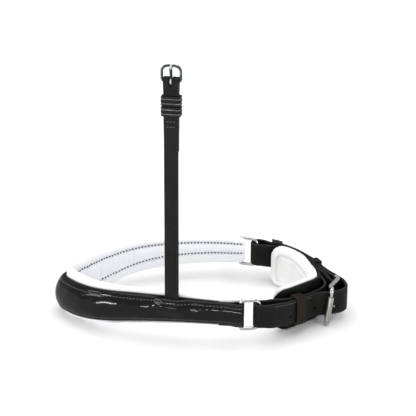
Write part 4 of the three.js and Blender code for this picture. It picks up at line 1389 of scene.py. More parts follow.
@dataclass
class ChinBuckle:
    """The cranked wire frame, its roller and its tongue."""

    strap: ChinStrap
    hump: float = 3.4
    dip: float = 3.0
    roller_wall: float = 0.9
    roller_rim: float = 0.35
    level_share: float = 0.84

    def __post_init__(self) -> None:
        """Work out where the frame turns round its roller."""
        s = self.strap
        self.radius = s.chin_wire / 2
        self.turn_room = self.radius + s.gap / 2
        self.roller_end = s.roller_length / 2 + s.gap

    def on_roller(self, height: float) -> Array:
        """Find a point of the roller's axis."""
        return self.strap.roller_at + self.strap.roller_lean * height

    def side(self, sign: int) -> list[Array]:
        """Find the corners of one side of the frame.

        Args:
            sign: 1 for the upper side, -1 for the lower.

        Returns:
            The corners from the bar to the roller's axis: out over the hump, in at the dip.
        """
        s = self.strap
        z = float(s.middle(s.bar[0])) + sign * (s.width / 2 + 2 * s.ease + self.radius)
        end = self.on_roller(sign * (self.roller_end + self.turn_room))
        hump, level = self.hump, self.level_share
        rows = [(0, 0), (0.14, hump), (0.32, hump), (0.52, 0), (0.71, -self.dip), (level, 0)]
        points = []
        for share, out in rows:
            spot = mix(s.bar * [1, 1, 0], end * [1, 1, 0], share) + s.bar_across * out
            spot[2] = z if (share < level or sign > 0) else end[2]
            points.append(spot)
        points.append(np.array([end[0], end[1], z if sign > 0 else end[2]]))
        return points

    def build_frame(self) -> Piece:
        """Bend the frame: a bar in the strap's fold, cranked sides and a thin front bar.

        Returns:
            The frame: a circle carried along its corners, each rounded with a parabola.
        """
        s = self.strap
        upper, lower = self.side(1), self.side(-1)[::-1]
        corners = np.array(upper + lower)
        cut_back = [2 * s.chin_wire] * len(corners)
        for i in (len(upper) - 1, len(upper)):
            cut_back[i] = self.turn_room - s.gap / 2
        bends = rounded_path(corners, cut_back, 9)
        core = s.roller / 2 - self.roller_wall - s.gap
        path, radii = [], []
        for i, bend in enumerate(bends):
            path.append(bend)
            radii.append(np.full(len(bend), self.radius))
            if i == len(upper) - 1:
                run = np.array([1, 0.94, 0.5, 0, -0.5, -0.94, -1]) * self.roller_end
                path.append(np.array([self.on_roller(h) for h in run]))
                radii.append(np.full(len(run), core))
        grid = wire(np.vstack(path), s.roller_tangent, np.concatenate(radii), True, 24)
        obj = skin("chin_buckle_wire", grid, True)
        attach(obj, "chin_frame")
        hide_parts("chin_buckle_frame")
        return obj

    def build_roller(self) -> Piece:
        """Turn the roller: a tube with rounded ends, its profile carried round its axis.

        Returns:
            The roller.
        """
        s = self.strap
        outer, half = s.roller / 2, s.roller_length / 2
        bore = outer - self.roller_wall
        rim = self.roller_rim
        a = np.linspace(0, math.pi / 2, 5)
        profile = [(bore, -half), (bore + 0.2, -half)]
        profile += [(outer - rim + rim * math.sin(v), rim - half - rim * math.cos(v)) for v in a]
        profile += [(outer - rim + rim * math.cos(v), half - rim + rim * math.sin(v)) for v in a]
        profile += [(bore + 0.2, half), (bore, half)]
        profile = np.array(profile)
        first = unit(np.cross(s.roller_lean, s.roller_tangent))
        second = np.cross(s.roller_lean, first)
        turn = np.linspace(0, 2 * math.pi, 48, endpoint=False)
        spoke = np.cos(turn)[:, None] * first + np.sin(turn)[:, None] * second
        grid = (
            s.roller_at
            + profile[:, 0][:, None, None] * spoke[None]
            + (profile[:, 1][:, None] * s.roller_lean)[:, None, :]
        )
        obj = skin("chin_roller_tube", grid, True)
        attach(obj, "chin_roller")
        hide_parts("chin_buckle_roller")
        return obj

    def build_tongue(self) -> Piece:
        """Make the tongue, a little thinner at its tip.

        Returns:
            The tongue.
        """
        s = self.strap
        bore, radius = self.radius + s.gap, s.tongue_wire / 2
        eye, tip, thin = s.tongue_eye, s.tongue_tip, radius - s.gap
        obj = wire_tongue("chin_tongue_wire", eye, UP, bore, radius, tip, thin)
        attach(obj, "chin_tongue")
        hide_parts("chin_buckle_tongue")
        return obj


@dataclass
class StrapKeepers:
    """The three loops of leather that hold the strap's layers together."""

    strap: ChinStrap
    wall: float = 1.5
    edge_round: float = 0.5
    crease: float = 0.28

    def build(self, node: str, body: str, share: float, length: float, doubled: bool) -> Piece:
        """Make a keeper.

        Its wall's section is carried round the strap's layers: a rounded rectangle for each
        point of the section, at that point's place along the strap and distance off it.

        Args:
            node: The CAD node that it stands for.
            body: The body that it rides on.
            share: Place along the strap's line.
            length: Length along the strap.
            doubled: Whether it goes round the inner layer too.

        Returns:
            The keeper.
        """
        s = self.strap
        step = 1 / 240
        ahead = s.beside(share + step, s.outer_lift(share + step))
        behind = s.beside(share - step, s.outer_lift(share - step))
        pace = float(np.linalg.norm(ahead - behind)) / (2 * step)
        outline = strip_outline(length, self.wall, self.edge_round, self.crease)
        grow = s.ease + self.wall / 2 + outline[:, 0]
        places = share + outline[:, 1] / pace
        low = (0.0 if doubled else s.chape_lift(places)) - s.thickness / 2 - grow
        high = s.outer_lift(places) + s.thickness / 2 + grow
        corner = self.edge_round + 0.8 * grow
        ring = band_ring(s.width + 2 * grow, high - low, corner)
        centre, across, _ = s.frames(places)
        out = (low + high)[:, None] / 2 + ring[..., 0]
        points = centre[:, None, :] + across[:, None, :] * out[..., None]
        points[..., 2] = s.middle(points[..., 0]) + ring[..., 1]
        flow = flow_of(ring[..., 1], outline[:, 1, None], outline[:, 0, None])
        obj = skin(node + "_loop", points, True, flow)
        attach(obj, body)
        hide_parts(node)
        return obj


@dataclass
class JawPad:
    """The soft pad inside the chin strap, on its leather backing."""

    strap: ChinStrap
    height: float = 40.0
    thickness: float = 10.0
    corner: float = 13.0
    seam_inset: float = 7.5
    seam_depth: float = 1.7
    seam_round: float = 2.6
    backing: float = 2.0
    start: float = 0.13
    end: float = 0.945
    floor_cut: float = 0.5
    seam_width: float = 1.05
    inner_depth: float = 0.35
    inner_inset: float = 5.5
    inner_width: float = 3.2
    crown: float = 0.55
    crown_run: float = 9.0
    skin_in: float = 0.5
    foam_in: float = 3.4
    voxel: float = 1.7
    pressure: float = 4.0
    swell_cap: float = 1.1
    far_inset: float = 4.0
    backing_inset: float = 1.8

    def __post_init__(self) -> None:
        """Work out the pad's line, inside the strap."""
        s = self.strap
        back = s.thickness / 2 + s.gap + self.backing + s.gap
        shares = np.linspace(self.start, self.end, 161)
        self.line = Band.through(s.beside(shares, -back - s.pad_lift(shares)), -1)
        self.length = float(self.line.distance[-1])

    def half(self, d: Array, inset: float) -> Array:
        """Find half the height of a rounded rectangle.

        Args:
            d: Distances along the pad.
            inset: How far the rectangle lies inside the pad's.

        Returns:
            Half its height at each distance.
        """
        to_end = np.maximum(np.minimum(d, self.length - d) - inset, 0)
        corner = self.corner - inset
        short = np.maximum(corner - to_end, 0)
        half = self.height / 2 + self.floor_cut - inset
        return half - corner + np.sqrt(np.maximum(corner**2 - short**2, 0))

    def roll(self, drawn_in: float) -> Array:
        """Work out the pad's closed form.

        Its depth rises over a quarter circle from the edge to the pad's thickness, and its
        back is flat.

        Args:
            drawn_in: How much smaller all round.

        Returns:
            Rings of points, (rows, m, 3).
        """
        ease = (1 - np.cos(np.linspace(0, math.pi, 90))) / 2
        d = drawn_in + ease * (self.length - 2 * drawn_in)
        column = d[:, None]
        half = np.maximum(self.half(column, 0) - drawn_in, 0.4)
        share = np.sin(np.linspace(-1, 1, 41) * math.pi / 2)[None, :]
        to_end = np.minimum(column, self.length - column) - drawn_in
        from_edge = np.minimum((1 - np.abs(share)) * half, to_end + 0 * share)
        rim = np.clip(from_edge / (self.thickness / 2), 0, 1)
        full = self.thickness - 2 * drawn_in
        depth = full * np.sqrt(np.clip(1 - (1 - rim) ** 2, 0, 1))
        gap = self.strap.gap
        face = -depth - gap - drawn_in
        flat = -gap - drawn_in * 0.3 + 0 * face[:, -2:0:-2]
        out = np.concatenate([face, flat], axis=1)
        height = self.height / 2 + share * half
        up = np.concatenate([height, height[:, -2:0:-2]], axis=1)
        return self.line.at(d).out(out, np.maximum(up, 0.0))

    def coordinates(self, points: Array) -> tuple[Array, Array]:
        """Find where points lie on the pad.

        Args:
            points: Points in millimetres, (n, 3).

        Returns:
            Distance along the pad's line and distance out of it, from the nearest station.
        """
        ground = points[:, None, :2] - self.line.centre[None, :, :2]
        nearest = np.argmin((ground**2).sum(axis=2), axis=1)
        off = points[:, :2] - self.line.centre[nearest, :2]
        along = (off * self.line.tangent[nearest, :2]).sum(axis=1)
        out = (off * self.line.across[nearest, :2]).sum(axis=1)
        return self.line.distance[nearest] + along, out

    def build_lining(self) -> Piece:
        """Make the soft pad: swollen as cloth, then sewn.

        After the cloth, each point within reach of the seam moves towards the backing by a
        bell curve of its distance from it. The seam is a rounded rectangle inside the edge,
        and a second one lies inside that.

        Returns:
            The piece.
        """
        obj = skin("jaw_pad_soft", self.roll(self.skin_in))
        swollen(obj, self.voxel * MM, self.pressure, self.swell_cap * MM)
        count = len(obj.data.vertices)
        flat = np.empty(count * 3)
        obj.data.vertices.foreach_get("co", flat)
        points = flat.reshape(-1, 3) / MM + BOX_MIDDLE
        d, out = self.coordinates(points)
        here = self.line.at(np.clip(d, 0, self.length))
        in_from_end = np.minimum(d, self.length - d)
        level = np.abs(points[:, 2] - self.height / 2)
        in_from_edge = self.half(np.clip(d, 0, self.length), 0) - level
        # A soft minimum rounds the seam's corners
        soft = self.seam_round
        from_edge = -soft * np.log(np.exp(-in_from_end / soft) + np.exp(-in_from_edge / soft))
        inner = smooth((-out - 1.5) / 3.0)
        seam = self.seam_depth * bump(from_edge, self.seam_inset, self.seam_width)
        second = bump(from_edge, self.seam_inset + self.inner_inset, self.inner_width)
        seam += self.inner_depth * second
        crown = self.crown * smooth((from_edge - self.seam_inset) / self.crown_run)
        points += here.across * ((seam - crown) * inner)[:, None]
        d, out = self.coordinates(points)
        over = np.maximum(out + self.strap.gap, 0)
        points -= here.across * over[:, None]
        points[:, 2] = np.clip(points[:, 2], 0.0, self.height + 0.6)
        obj.data.vertices.foreach_set("co", ((points - BOX_MIDDLE) * MM).ravel())
        tidy_faces(obj.data, 70)
        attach(obj, "noseband")
        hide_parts("jaw_pad_lining")
        return obj

    def build_foam(self) -> Piece:
        """Make the padding inside, the same form drawn in all round.

        Returns:
            The piece.
        """
        obj = skin("jaw_pad_filling", self.roll(self.foam_in))
        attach(obj, "noseband")
        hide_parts("jaw_pad_foam")
        return obj

    def build_backing(self) -> Piece:
        """Make the leather that the pad is sewn to, with rounded corners and edges.

        Returns:
            The piece: a rounded rectangle whose edges round off by a 20th power.
        """
        gap = self.strap.gap
        ease = (1 - np.cos(np.linspace(0, math.pi, 110))) / 2
        shorter = self.length - self.far_inset
        d = gap + ease * (shorter - 2 * gap)
        half = self.half(d * self.length / shorter, 0) - self.backing_inset
        half = np.maximum(half, 0.5)[:, None]
        share = np.concatenate([[-1.0], np.linspace(-0.99, 0.99, 13), [1.0]])[None, :]
        rounding = 0.4 * np.abs(share) ** 20
        near, far = gap + rounding + 0 * half, gap + self.backing - rounding + 0 * half
        up = self.height / 2 + share * half
        grid = self.line.at(d).out(and_back(near, far), and_back(up, up))
        obj = skin("jaw_pad_backing_leather", grid)
        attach(obj, "noseband")
        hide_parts("jaw_pad_backing")
        return obj


def swollen(obj: Piece, voxel: float, pressure: float, cap: float, steps: int = 20) -> None:
    """Blow a closed soft form up as cloth, and keep the result.

    Args:
        obj: The piece, in metres.
        voxel: Size of the remesh.
        pressure: Air pressure inside.
        cap: The furthest that a point may move.
        steps: How many steps the cloth takes.
    """
    remesh = obj.modifiers.new("even faces", "REMESH")
    remesh.mode, remesh.voxel_size = "VOXEL", voxel
    even = obj.modifiers.new("even steps", "SMOOTH")
    even.factor, even.iterations = 0.5, 6
    applied(obj)
    count = len(obj.data.vertices)
    start = np.empty(count * 3)
    obj.data.vertices.foreach_get("co", start)
    cloth = obj.modifiers.new("swell", "CLOTH")
    cloth.settings.quality = 5
    cloth.settings.use_pressure = True
    cloth.settings.uniform_pressure_force = pressure
    cloth.settings.effector_weights.gravity = 0
    cloth.settings.tension_stiffness = 30
    scene = bpy.context.scene
    for number in range(1, steps + 1):
        scene.frame_set(number)
    graph = bpy.context.evaluated_depsgraph_get()
    made = obj.evaluated_get(graph).to_mesh()
    end = np.empty(count * 3)
    made.vertices.foreach_get("co", end)
    obj.evaluated_get(graph).to_mesh_clear()
    obj.modifiers.clear()
    scene.frame_set(1)
    move = (end - start).reshape(-1, 3)
    size = np.linalg.norm(move, axis=1, keepdims=True)
    move *= np.minimum(1.0, cap / np.maximum(size, 1e-9))
    obj.data.vertices.foreach_set("co", (start + move.ravel()))
    finer = obj.modifiers.new("finer", "SUBSURF")
    finer.levels = finer.render_levels = 1
    applied(obj)


# ---- The cheek strap ----


@dataclass
class Cheek:
    """The cheek strap, with its buckle and two keepers."""

    nose: Nosepiece
    place: float = 0.1655
    lean: float = 0.0075
    width: float = 11.6
    top_width: float = 12.2
    thickness: float = 2.4
    tuck: float = 17.0
    bar_height: float = 225.8
    returned: float = 58.0
    taper: float = 30.0
    wire: float = 2.1
    frame_width: float = 17.1
    frame_rise: float = 13.6
    frame_dip: float = 1.1
    frame_arch: float = 1.9
    tongue_wire: float = 2.1
    tip_flare: float = 0.25
    keeper_tall: float = 7.4
    keeper_below: float = 11.8
    keeper_step: float = 8.6
    keeper_wall: float = 1.5
    keeper_ease: float = 0.4
    keeper_round: float = 0.5
    edge_round: float = 0.6
    crease: float = 0.26
    keeper_crease: float = 0.3
    slot_rise: float = 2.2
    slot_length: float = 11.6
    slot_width: float = 3.2
    seam_reach: float = 4.2
    seams: tuple = (("low", 189.0), ("high", 193.4))
    shoulder_share: float = 0.22
    crown_share: float = 0.7
    dip_share: float = 0.14
    tip_back: float = 0.1
    gap: float = 0.3

    def __post_init__(self) -> None:
        """Work out where the strap stands."""
        self.distance = self.place * self.nose.length
        here = self.nose.fine.at(self.distance)
        self.centre, self.across, self.tangent = here.centre[0], here.across[0], here.tangent[0]
        out = self.nose.backing / 2 + self.gap + self.thickness / 2
        self.pitch = self.thickness + self.gap
        self.loop = self.wire / 2 + self.gap + self.thickness / 2
        self.bar_out = out - self.pitch / 2
        column = np.array([self.distance])
        self.bottom = float(self.nose.cover_high(column)[0]) - self.tuck

    def point(self, side: Array, out: Array, height: Array) -> Array:
        """Find points by the strap.

        Args:
            side: How far to its side.
            out: How far out of it.
            height: Height, with one or more of the three an array.

        Returns:
            The points.
        """
        side, out, height = np.broadcast_arrays(
            *(np.asarray(v, dtype=float) for v in (side, out, height))
        )
        points = self.centre + self.tangent * (side - self.lean * height)[..., None]
        points = points + self.across * out[..., None]
        points[..., 2] = height
        return points

    def width_at(self, height: Array) -> Array:
        """Width of the strap, wider under and above the keepers."""
        below = self.bar_height - self.keeper_below - self.keeper_step - height
        return mix(self.top_width, self.width, smooth(below / self.taper))

    def build_strap(self) -> Piece:
        """Fold the strap over its buckle's bar.

        Returns:
            The strap: its section carried up the front, over an arc and down the back.
        """
        opening = 4 * self.loop
        rise = np.concatenate([
            np.linspace(self.bottom, self.bar_height - opening, 70),
            np.linspace(self.bar_height - opening, self.bar_height, 14)[1:],
        ])
        near = smooth(1 - (self.bar_height - rise) / opening)
        front = self.point(0, self.bar_out + mix(self.pitch / 2, self.loop, near), rise)
        a = np.radians(np.linspace(12, 168, 15))
        top = self.bar_height + self.loop * np.sin(a)
        over = self.point(0, self.bar_out + self.loop * np.cos(a), top)
        fall = np.linspace(self.bar_height, self.bar_height - self.returned, 40)
        near = smooth(1 - (self.bar_height - fall) / opening)
        back = self.point(0, self.bar_out - mix(self.pitch / 2, self.loop, near), fall)
        path = np.vstack([front, over, back])
        along = unit(np.vstack([path[1:], path[-1:]]) - np.vstack([path[:1], path[:-1]]))
        out_way = np.cross(along, self.tangent)
        outline = strip_outline(self.top_width, self.thickness, self.edge_round, self.crease)
        wide = self.width_at(path[:, 2]) / self.top_width
        skived = np.ones(len(path))
        skived[-6:] = np.linspace(1, 0.4, 6)
        grid = (
            path[:, None, :]
            + out_way[:, None, :] * (outline[None, :, 0] * skived[:, None])[..., None]
            + self.tangent * (outline[None, :, 1] * wide[:, None])[..., None]
        )
        distance = even_run(path)
        flow = flow_of(distance[:, None], outline[:, 1], outline[:, 0])
        obj = skin("cheek_strap_leather", grid, flow=flow)
        slot = self.point(0, self.bar_out, self.bar_height + self.slot_rise)
        size = (self.slot_length, self.slot_width, 4 * self.loop)
        bored(obj, [oval_cutter(slot, UP, self.across, *size)])
        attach(obj, "noseband")
        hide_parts("cheek_strap")
        return obj

    def cross_seam(self, height: float) -> tuple[Array, Array]:
        """Find a stitch line across the front of the strap.

        Args:
            height: Its height.

        Returns:
            Points along it, and the ways out of the surface there.
        """
        side = np.linspace(-self.seam_reach, self.seam_reach, 12)
        out = self.bar_out + self.pitch / 2 + self.thickness / 2 - 0.1
        points = self.point(side, out, height)
        return points, np.broadcast_to(self.across, points.shape)

    def build_frame(self) -> Piece:
        """Bend the buckle's frame, with rounded shoulders and a dip in its crown.

        Returns:
            The frame: a circle carried round quarter circles, a parabola and a bell curve.
        """
        radius = self.wire / 2
        half = self.frame_width / 2 - radius
        rise = self.frame_rise - radius
        shoulder = rise * self.shoulder_share
        a = np.linspace(0, math.pi / 2, 11)
        side = half - shoulder + shoulder * np.cos(a)
        high = rise - shoulder + shoulder * np.sin(a)
        # The crown rises towards the middle, where the tongue lies in a small dip
        fall = self.frame_arch * np.abs(side / half) ** 2
        high = high - fall * smooth(high / rise)
        share = np.linspace(self.crown_share, -self.crown_share, 35)
        dip = self.frame_dip * bump(share, 0.0, self.dip_share)
        dip = dip + self.frame_arch * np.abs(share) ** 2
        path = [(-half + 2 * radius, 0.0), (0.0, 0.0), (half - 2 * radius, 0.0)]
        path += [(half - 0.4 * radius, 0.35 * radius), (half, 1.5 * radius)]
        path += list(zip(side, high))
        path += list(zip(share * half, rise - dip))
        path += list(zip(-side[::-1], high[::-1]))
        path += [(-half, 1.5 * radius), (-half + 0.4 * radius, 0.35 * radius)]
        path = np.array(path)
        points = self.point(path[:, 0], self.bar_out, self.bar_height + path[:, 1])
        obj = skin("cheek_buckle_wire", wire(points, self.across, radius, True, 20), True)
        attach(obj, "cheek_frame")
        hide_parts("cheek_buckle_frame")
        return obj

    def build_tongue(self) -> Piece:
        """Make the buckle's tongue, which rests on the frame's crown.

        Returns:
            The tongue.
        """
        eye = self.point(0, self.bar_out, self.bar_height)
        rise = self.frame_rise - self.tip_back
        bore, radius = self.wire / 2 + self.gap, self.tongue_wire / 2
        over = self.wire / 2 + 1.5 * self.gap + radius
        tip = self.point(0, self.bar_out + over, self.bar_height + rise)
        flared = radius + self.tip_flare
        obj = wire_tongue("cheek_tongue_wire", eye, self.tangent, bore, radius, tip, flared)
        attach(obj, "cheek_tongue")
        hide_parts("cheek_buckle_tongue")
        return obj

    def build_keeper(self, step: int) -> Piece:
        """Make a keeper: a rounded rectangle for each point of its wall's section.

        Args:
            step: 0 for the fixed one, 1 for the runner below it.

        Returns:
            The keeper.
        """
        edge, wall = self.keeper_round, self.keeper_wall
        outline = strip_outline(self.keeper_tall, wall, edge, self.keeper_crease)
        grow = self.keeper_ease + wall / 2 + outline[:, 0]
        deep = self.thickness + self.pitch + 2 * grow
        ring = band_ring(self.top_width + 2 * grow, deep, edge + 0.8 * grow)
        top = self.bar_height - self.keeper_below - step * self.keeper_step
        middle = top - self.keeper_tall / 2
        foot = self.point(0, self.bar_out, middle)
        points = foot + self.across * ring[..., :1] + self.tangent * ring[..., 1:]
        points = points + UP * outline[:, 1][:, None, None]
        name = "runner" if step else "fixed"
        flow = flow_of(ring[..., 1], outline[:, 1, None], outline[:, 0, None])
        obj = skin("cheek_keeper_" + name + "_loop", points, True, flow)
        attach(obj, "cheek_runner" if step else "noseband")
        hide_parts("cheek_keeper_" + name)
        return obj


# ---- Finishes ----


def colour(text: str) -> tuple[float, float, float, float]:
    """Turn an sRGB hex colour to linear: ((c + 0.055) / 1.055)^2.4, or c / 12.92 if dark.

    Args:
        text: The colour, a hash and six digits.

    Returns:
        Red, green and blue, and 1 for opaque.
    """
    parts = [int(text[i : i + 2], 16) / 255 for i in (1, 3, 5)]
    linear = [c / 12.92 if c <= 0.04045 else ((c + 0.055) / 1.055) ** 2.4 for c in parts]
    return (*linear, 1.0)


def per_mm(size: float) -> float:
    """Scale of a pattern whose marks are so many millimetres apart."""
    return 1.0 / (size * MM)


def add_node(
    tree: bpy.types.NodeTree,
    kind: str,
    inputs: dict | None = None,
    output: int | str = 0,
    **settings: object,
) -> bpy.types.NodeSocket | None:
    """Add a node with its settings and links.

    Args:
        tree: The tree.
        kind: The node's type name, without "ShaderNode".
        inputs: Its sockets by name or number: a socket to link from, or a value.
        output: The output that is wanted, by name or number.
        **settings: Its properties.

    Returns:
        That output's socket, or nothing if the node has none.
    """
    made = tree.nodes.new("ShaderNode" + kind)
    for name, value in settings.items():
        setattr(made, name, value)
    for name, value in (inputs or {}).items():
        if isinstance(value, bpy.types.NodeSocket):
            tree.links.new(value, made.inputs[name])
        else:
            made.inputs[name].default_value = value
    return made.outputs[output] if made.outputs else None


def new_tree(name: str) -> tuple[bpy.types.Material, Callable]:
    """Start a material.

    Args:
        name: Its name.

    Returns:
        The material, and add_node for its empty tree.
    """
    material = bpy.data.materials.new(name)
    material.use_nodes = True
    material.node_tree.nodes.clear()
    return material, partial(add_node, material.node_tree)


def finish_tree(node: Callable, inputs: dict) -> None:
    """End a material: one shader with its sockets set, into the output."""
    node("OutputMaterial", {"Surface": node("BsdfPrincipled", inputs)})


class Grain(Enum):
    """How a leather's face is patterned."""

    SMOOTH = "fine pores only"
    CREASED = "pores and long soft creases"


@dataclass(frozen=True)
class StrapLeather:
    """Bridle leather: dyed and waxed cowhide, with paler edges and crease lines painted on as
    highlights.
    """

    name: str
    face: str
    worn: str
    # The paler colour painted along the edges as a highlight
    edge: str
    roughness: float
    half_width: float
    grain: Grain = Grain.SMOOTH
    grain_mm: float = 1.1
    specular: float = 0.19
    # The crease lines' paler colour and its strength: a painted highlight
    crease: str = "#2C2D2F"
    crease_highlight_share: float = 0.5

    def build(self) -> bpy.types.Material:
        """Make the material: cloudy dye, pores, creases, and painted highlights on the crease
        lines and edges.

        Returns:
            The material.
        """
        # The wax gives a low broken sheen; the paler line along each crease is a painted
        # highlight
        material, node = new_tree(self.name)
        place = node("TexCoord", output="Object")
        clouds = node("TexNoise", {"Vector": place, "Scale": per_mm(13.0), "Detail": 4.0})
        # Pores of bridle leather are 0.2 mm; drawn coarser so that they show at all
        size = {"Vector": place, "Scale": per_mm(self.grain_mm)}
        pores = node("TexVoronoi", size, "Distance", feature="SMOOTH_F1")
        fine = node("TexNoise", {"Vector": place, "Scale": per_mm(0.6), "Detail": 3.0})
        relief = node("Math", {0: pores, 1: 0.7, 2: fine}, operation="MULTIPLY_ADD")
        if self.grain is Grain.CREASED:
            squash = node("Mapping", {"Vector": place, "Scale": (1.0, 1.0, 0.22)})
            size = {"Vector": squash, "Scale": per_mm(2.6), "Detail": 2.0}
            folds = {0: node("TexNoise", size), 1: 3.2, 2: relief}
            relief = node("Math", folds, operation="MULTIPLY_ADD")
        flow = node("Attribute", output="Vector", attribute_name="flow")
        side = node("SeparateXYZ", {0: flow}, 1)
        across = node("Math", {0: side}, operation="ABSOLUTE")
        half = self.half_width * MM
        # Paler edges: a painted highlight where the rounded edges catch the light
        edge = node("MapRange", {0: across, 1: half - 0.75 * MM, 2: half - 0.2 * MM})
        # Crease lines: a painted highlight, broken up by the clouds below
        inset = {0: across, 1: half - CREASE_INSET * MM, 2: 0.32 * MM}
        line = node("Math", inset, operation="COMPARE")
        cloud = node("MapRange", {0: clouds, 1: 0.35, 2: 0.75})
        dye = {0: cloud, 6: colour(self.face), 7: colour(self.worn)}
        base = node("Mix", dye, 2, data_type="RGBA")
        least = 0.25 * self.crease_highlight_share
        crease_highlight_range = {0: clouds, 1: 0.38, 2: 0.62, 3: least, 4: self.crease_highlight_share}
        crease_highlight = node("MapRange", crease_highlight_range)
        crease_highlight = node("Math", {0: line, 1: crease_highlight}, operation="MULTIPLY")
        for share, paler in ((crease_highlight, self.crease), (edge, self.edge)):
            base = node("Mix", {0: share, 6: base, 7: colour(paler)}, 2, data_type="RGBA")
        low, high = self.roughness - 0.07, self.roughness + 0.09
        rough = node("MapRange", {0: clouds, 1: 0.3, 2: 0.7, 3: low, 4: high})
        ridge = {"Strength": 0.6, "Distance": 0.4 * MM, "Height": relief}
        finish_tree(node, {
            "Base Color": base,
            "Roughness": rough,
            "Normal": node("Bump", ridge),
            "IOR": 1.5,
            "Specular IOR Level": self.specular,
        })
        return material


@dataclass(frozen=True)
class PatentLeather:
    """Patent leather: a thick clear varnish over black, with slow waves in its gloss."""

    name: str = "black patent leather"
    face: str = "#0B0B0D"
    wave_mm: float = 19.0

    def build(self) -> bpy.types.Material:
        """Make the material: a black face under a clear coat, both on the same waves.

        Returns:
            The material.
        """
        # The varnish mirrors the lamps sharply, and its waves bend their outlines
        material, node = new_tree(self.name)
        place = node("TexCoord", output="Object")
        size = {"Vector": place, "Scale": per_mm(self.wave_mm), "Detail": 2.0, "Distortion": 0.6}
        waves = {"Strength": 0.8, "Distance": 1.1 * MM, "Height": node("TexNoise", size)}
        ridge = node("Bump", waves)
        dust = node("TexNoise", {"Vector": place, "Scale": per_mm(4.0), "Detail": 5.0})
        finish_tree(node, {
            "Base Color": colour(self.face),
            "Roughness": node("MapRange", {0: dust, 1: 0.35, 2: 0.75, 3: 0.1, 4: 0.2}),
            "Normal": ridge,
            "IOR": 1.5,
            "Specular IOR Level": 0.2,
            "Coat Weight": 0.22,
            "Coat Roughness": 0.04,
            "Coat Normal": ridge,
        })
        return material


@dataclass(frozen=True)
class SoftLining:
    """Soft glove leather: matt, with fine pores, its sewn inside greyer than its rims, partly its
    own tone and partly painted shade.
    """

    name: str
    rim: str
    inside: str
    cloud: str = "#CDCDD4"
    roughness: float = 0.55
    specular: float = 0.3

    def build(self) -> bpy.types.Material:
        """Make the material: two whites by the place on the roll, faint clouds and pores.

        Returns:
            The material.
        """
        # Stretched soft leather hardly shines, so its folds show by their shade alone
        material, node = new_tree(self.name)
        place = node("TexCoord", output="Object")
        size = {"Vector": place, "Scale": per_mm(1.3)}
        pores = node("TexVoronoi", size, "Distance", feature="SMOOTH_F1")
        clouds = node("TexNoise", {"Vector": place, "Scale": per_mm(16.0), "Detail": 4.0})
        fine = node("TexNoise", {"Vector": place, "Scale": per_mm(0.8), "Detail": 3.0})
        flow = node("Attribute", output="Vector", attribute_name="flow")
        face = node("SeparateXYZ", {0: flow}, 2)
        rim = node("MapRange", {0: face, 1: 0.74 * MM, 2: 0.92 * MM})
        shade = node("MapRange", {0: clouds, 1: 0.3, 2: 0.8, 4: 0.12})
        # The inside's greyer white is partly the leather's own tone, partly painted shade inside
        # the loop
        base = colour(self.inside)
        for share, tint in ((rim, self.rim), (shade, self.cloud)):
            base = node("Mix", {0: share, 6: base, 7: colour(tint)}, 2, data_type="RGBA")
        relief = node("Math", {0: pores, 1: 0.5, 2: fine}, operation="MULTIPLY_ADD")
        ridge = {"Strength": 0.22, "Distance": 0.25 * MM, "Height": relief}
        finish_tree(node, {
            "Base Color": base,
            "Roughness": self.roughness,
            "Normal": node("Bump", ridge),
            "IOR": 1.5,
            "Specular IOR Level": self.specular,
            "Sheen Weight": 0.08,
            "Sheen Roughness": 0.4,
        })
        return material


@dataclass(frozen=True)
class Metal:
    """Plated steel wire: polished or brushed, a little duller in its marks."""

    name: str
    face: str
    dull: str
    roughness: float
    streaks: bool = False
    # A band of painted dark reflection: its two heights, and its grey
    dark_band: tuple | None = None
    dark_band_colour: str = "#4A5055"

    def build(self) -> bpy.types.Material:
        """Make the material: two greys and a roughness by the same marks.

        Returns:
            The material.
        """
        # Plate mirrors what stands round it, and its rubbed marks blur that
        material, node = new_tree(self.name)
        place = node("TexCoord", output="Object")
        stretch = (1.0, 1.0, 0.06) if self.streaks else (1.0, 1.0, 1.0)
        drawn = node("Mapping", {"Vector": place, "Scale": stretch})
        # Brush lines are far finer than 0.9 mm; drawn coarser so that they show
        scale = per_mm(0.9 if self.streaks else 2.2)
        marks = node("TexNoise", {"Vector": drawn, "Scale": scale, "Detail": 5.0})
        worn = node("MapRange", {0: marks, 1: 0.4, 2: 0.7})
        plate = {0: worn, 6: colour(self.face), 7: colour(self.dull)}
        base = node("Mix", plate, 2, data_type="RGBA")
        if self.dark_band:
            # Painted dark reflection: dull grey between these two heights, bright above and below
            height = node("SeparateXYZ", {0: place}, 2)
            low, high = (value * MM for value in self.dark_band)
            fade = 1.5 * MM
            above = node("MapRange", {0: height, 1: low - fade, 2: low})
            ends = {0: height, 1: high, 2: high + fade, 3: 1.0, 4: 0.0}
            below = node("MapRange", ends)
            dull = node("Math", {0: above, 1: below}, operation="MULTIPLY")
            base = node("Mix", {0: dull, 6: base, 7: colour(self.dark_band_colour)}, 2, data_type="RGBA")
        smoothest, roughest = self.roughness, self.roughness + 0.16
        blur = {0: marks, 1: 0.3, 2: 0.75, 3: smoothest, 4: roughest}
        depth = 0.3 if self.streaks else 0.12
        ridge = {"Strength": depth, "Distance": 0.1 * MM, "Height": marks}
        finish_tree(node, {
            "Base Color": base,
            "Metallic": 1.0,
            "Roughness": node("MapRange", blur),
            "Normal": node("Bump", ridge),
        })
        return material


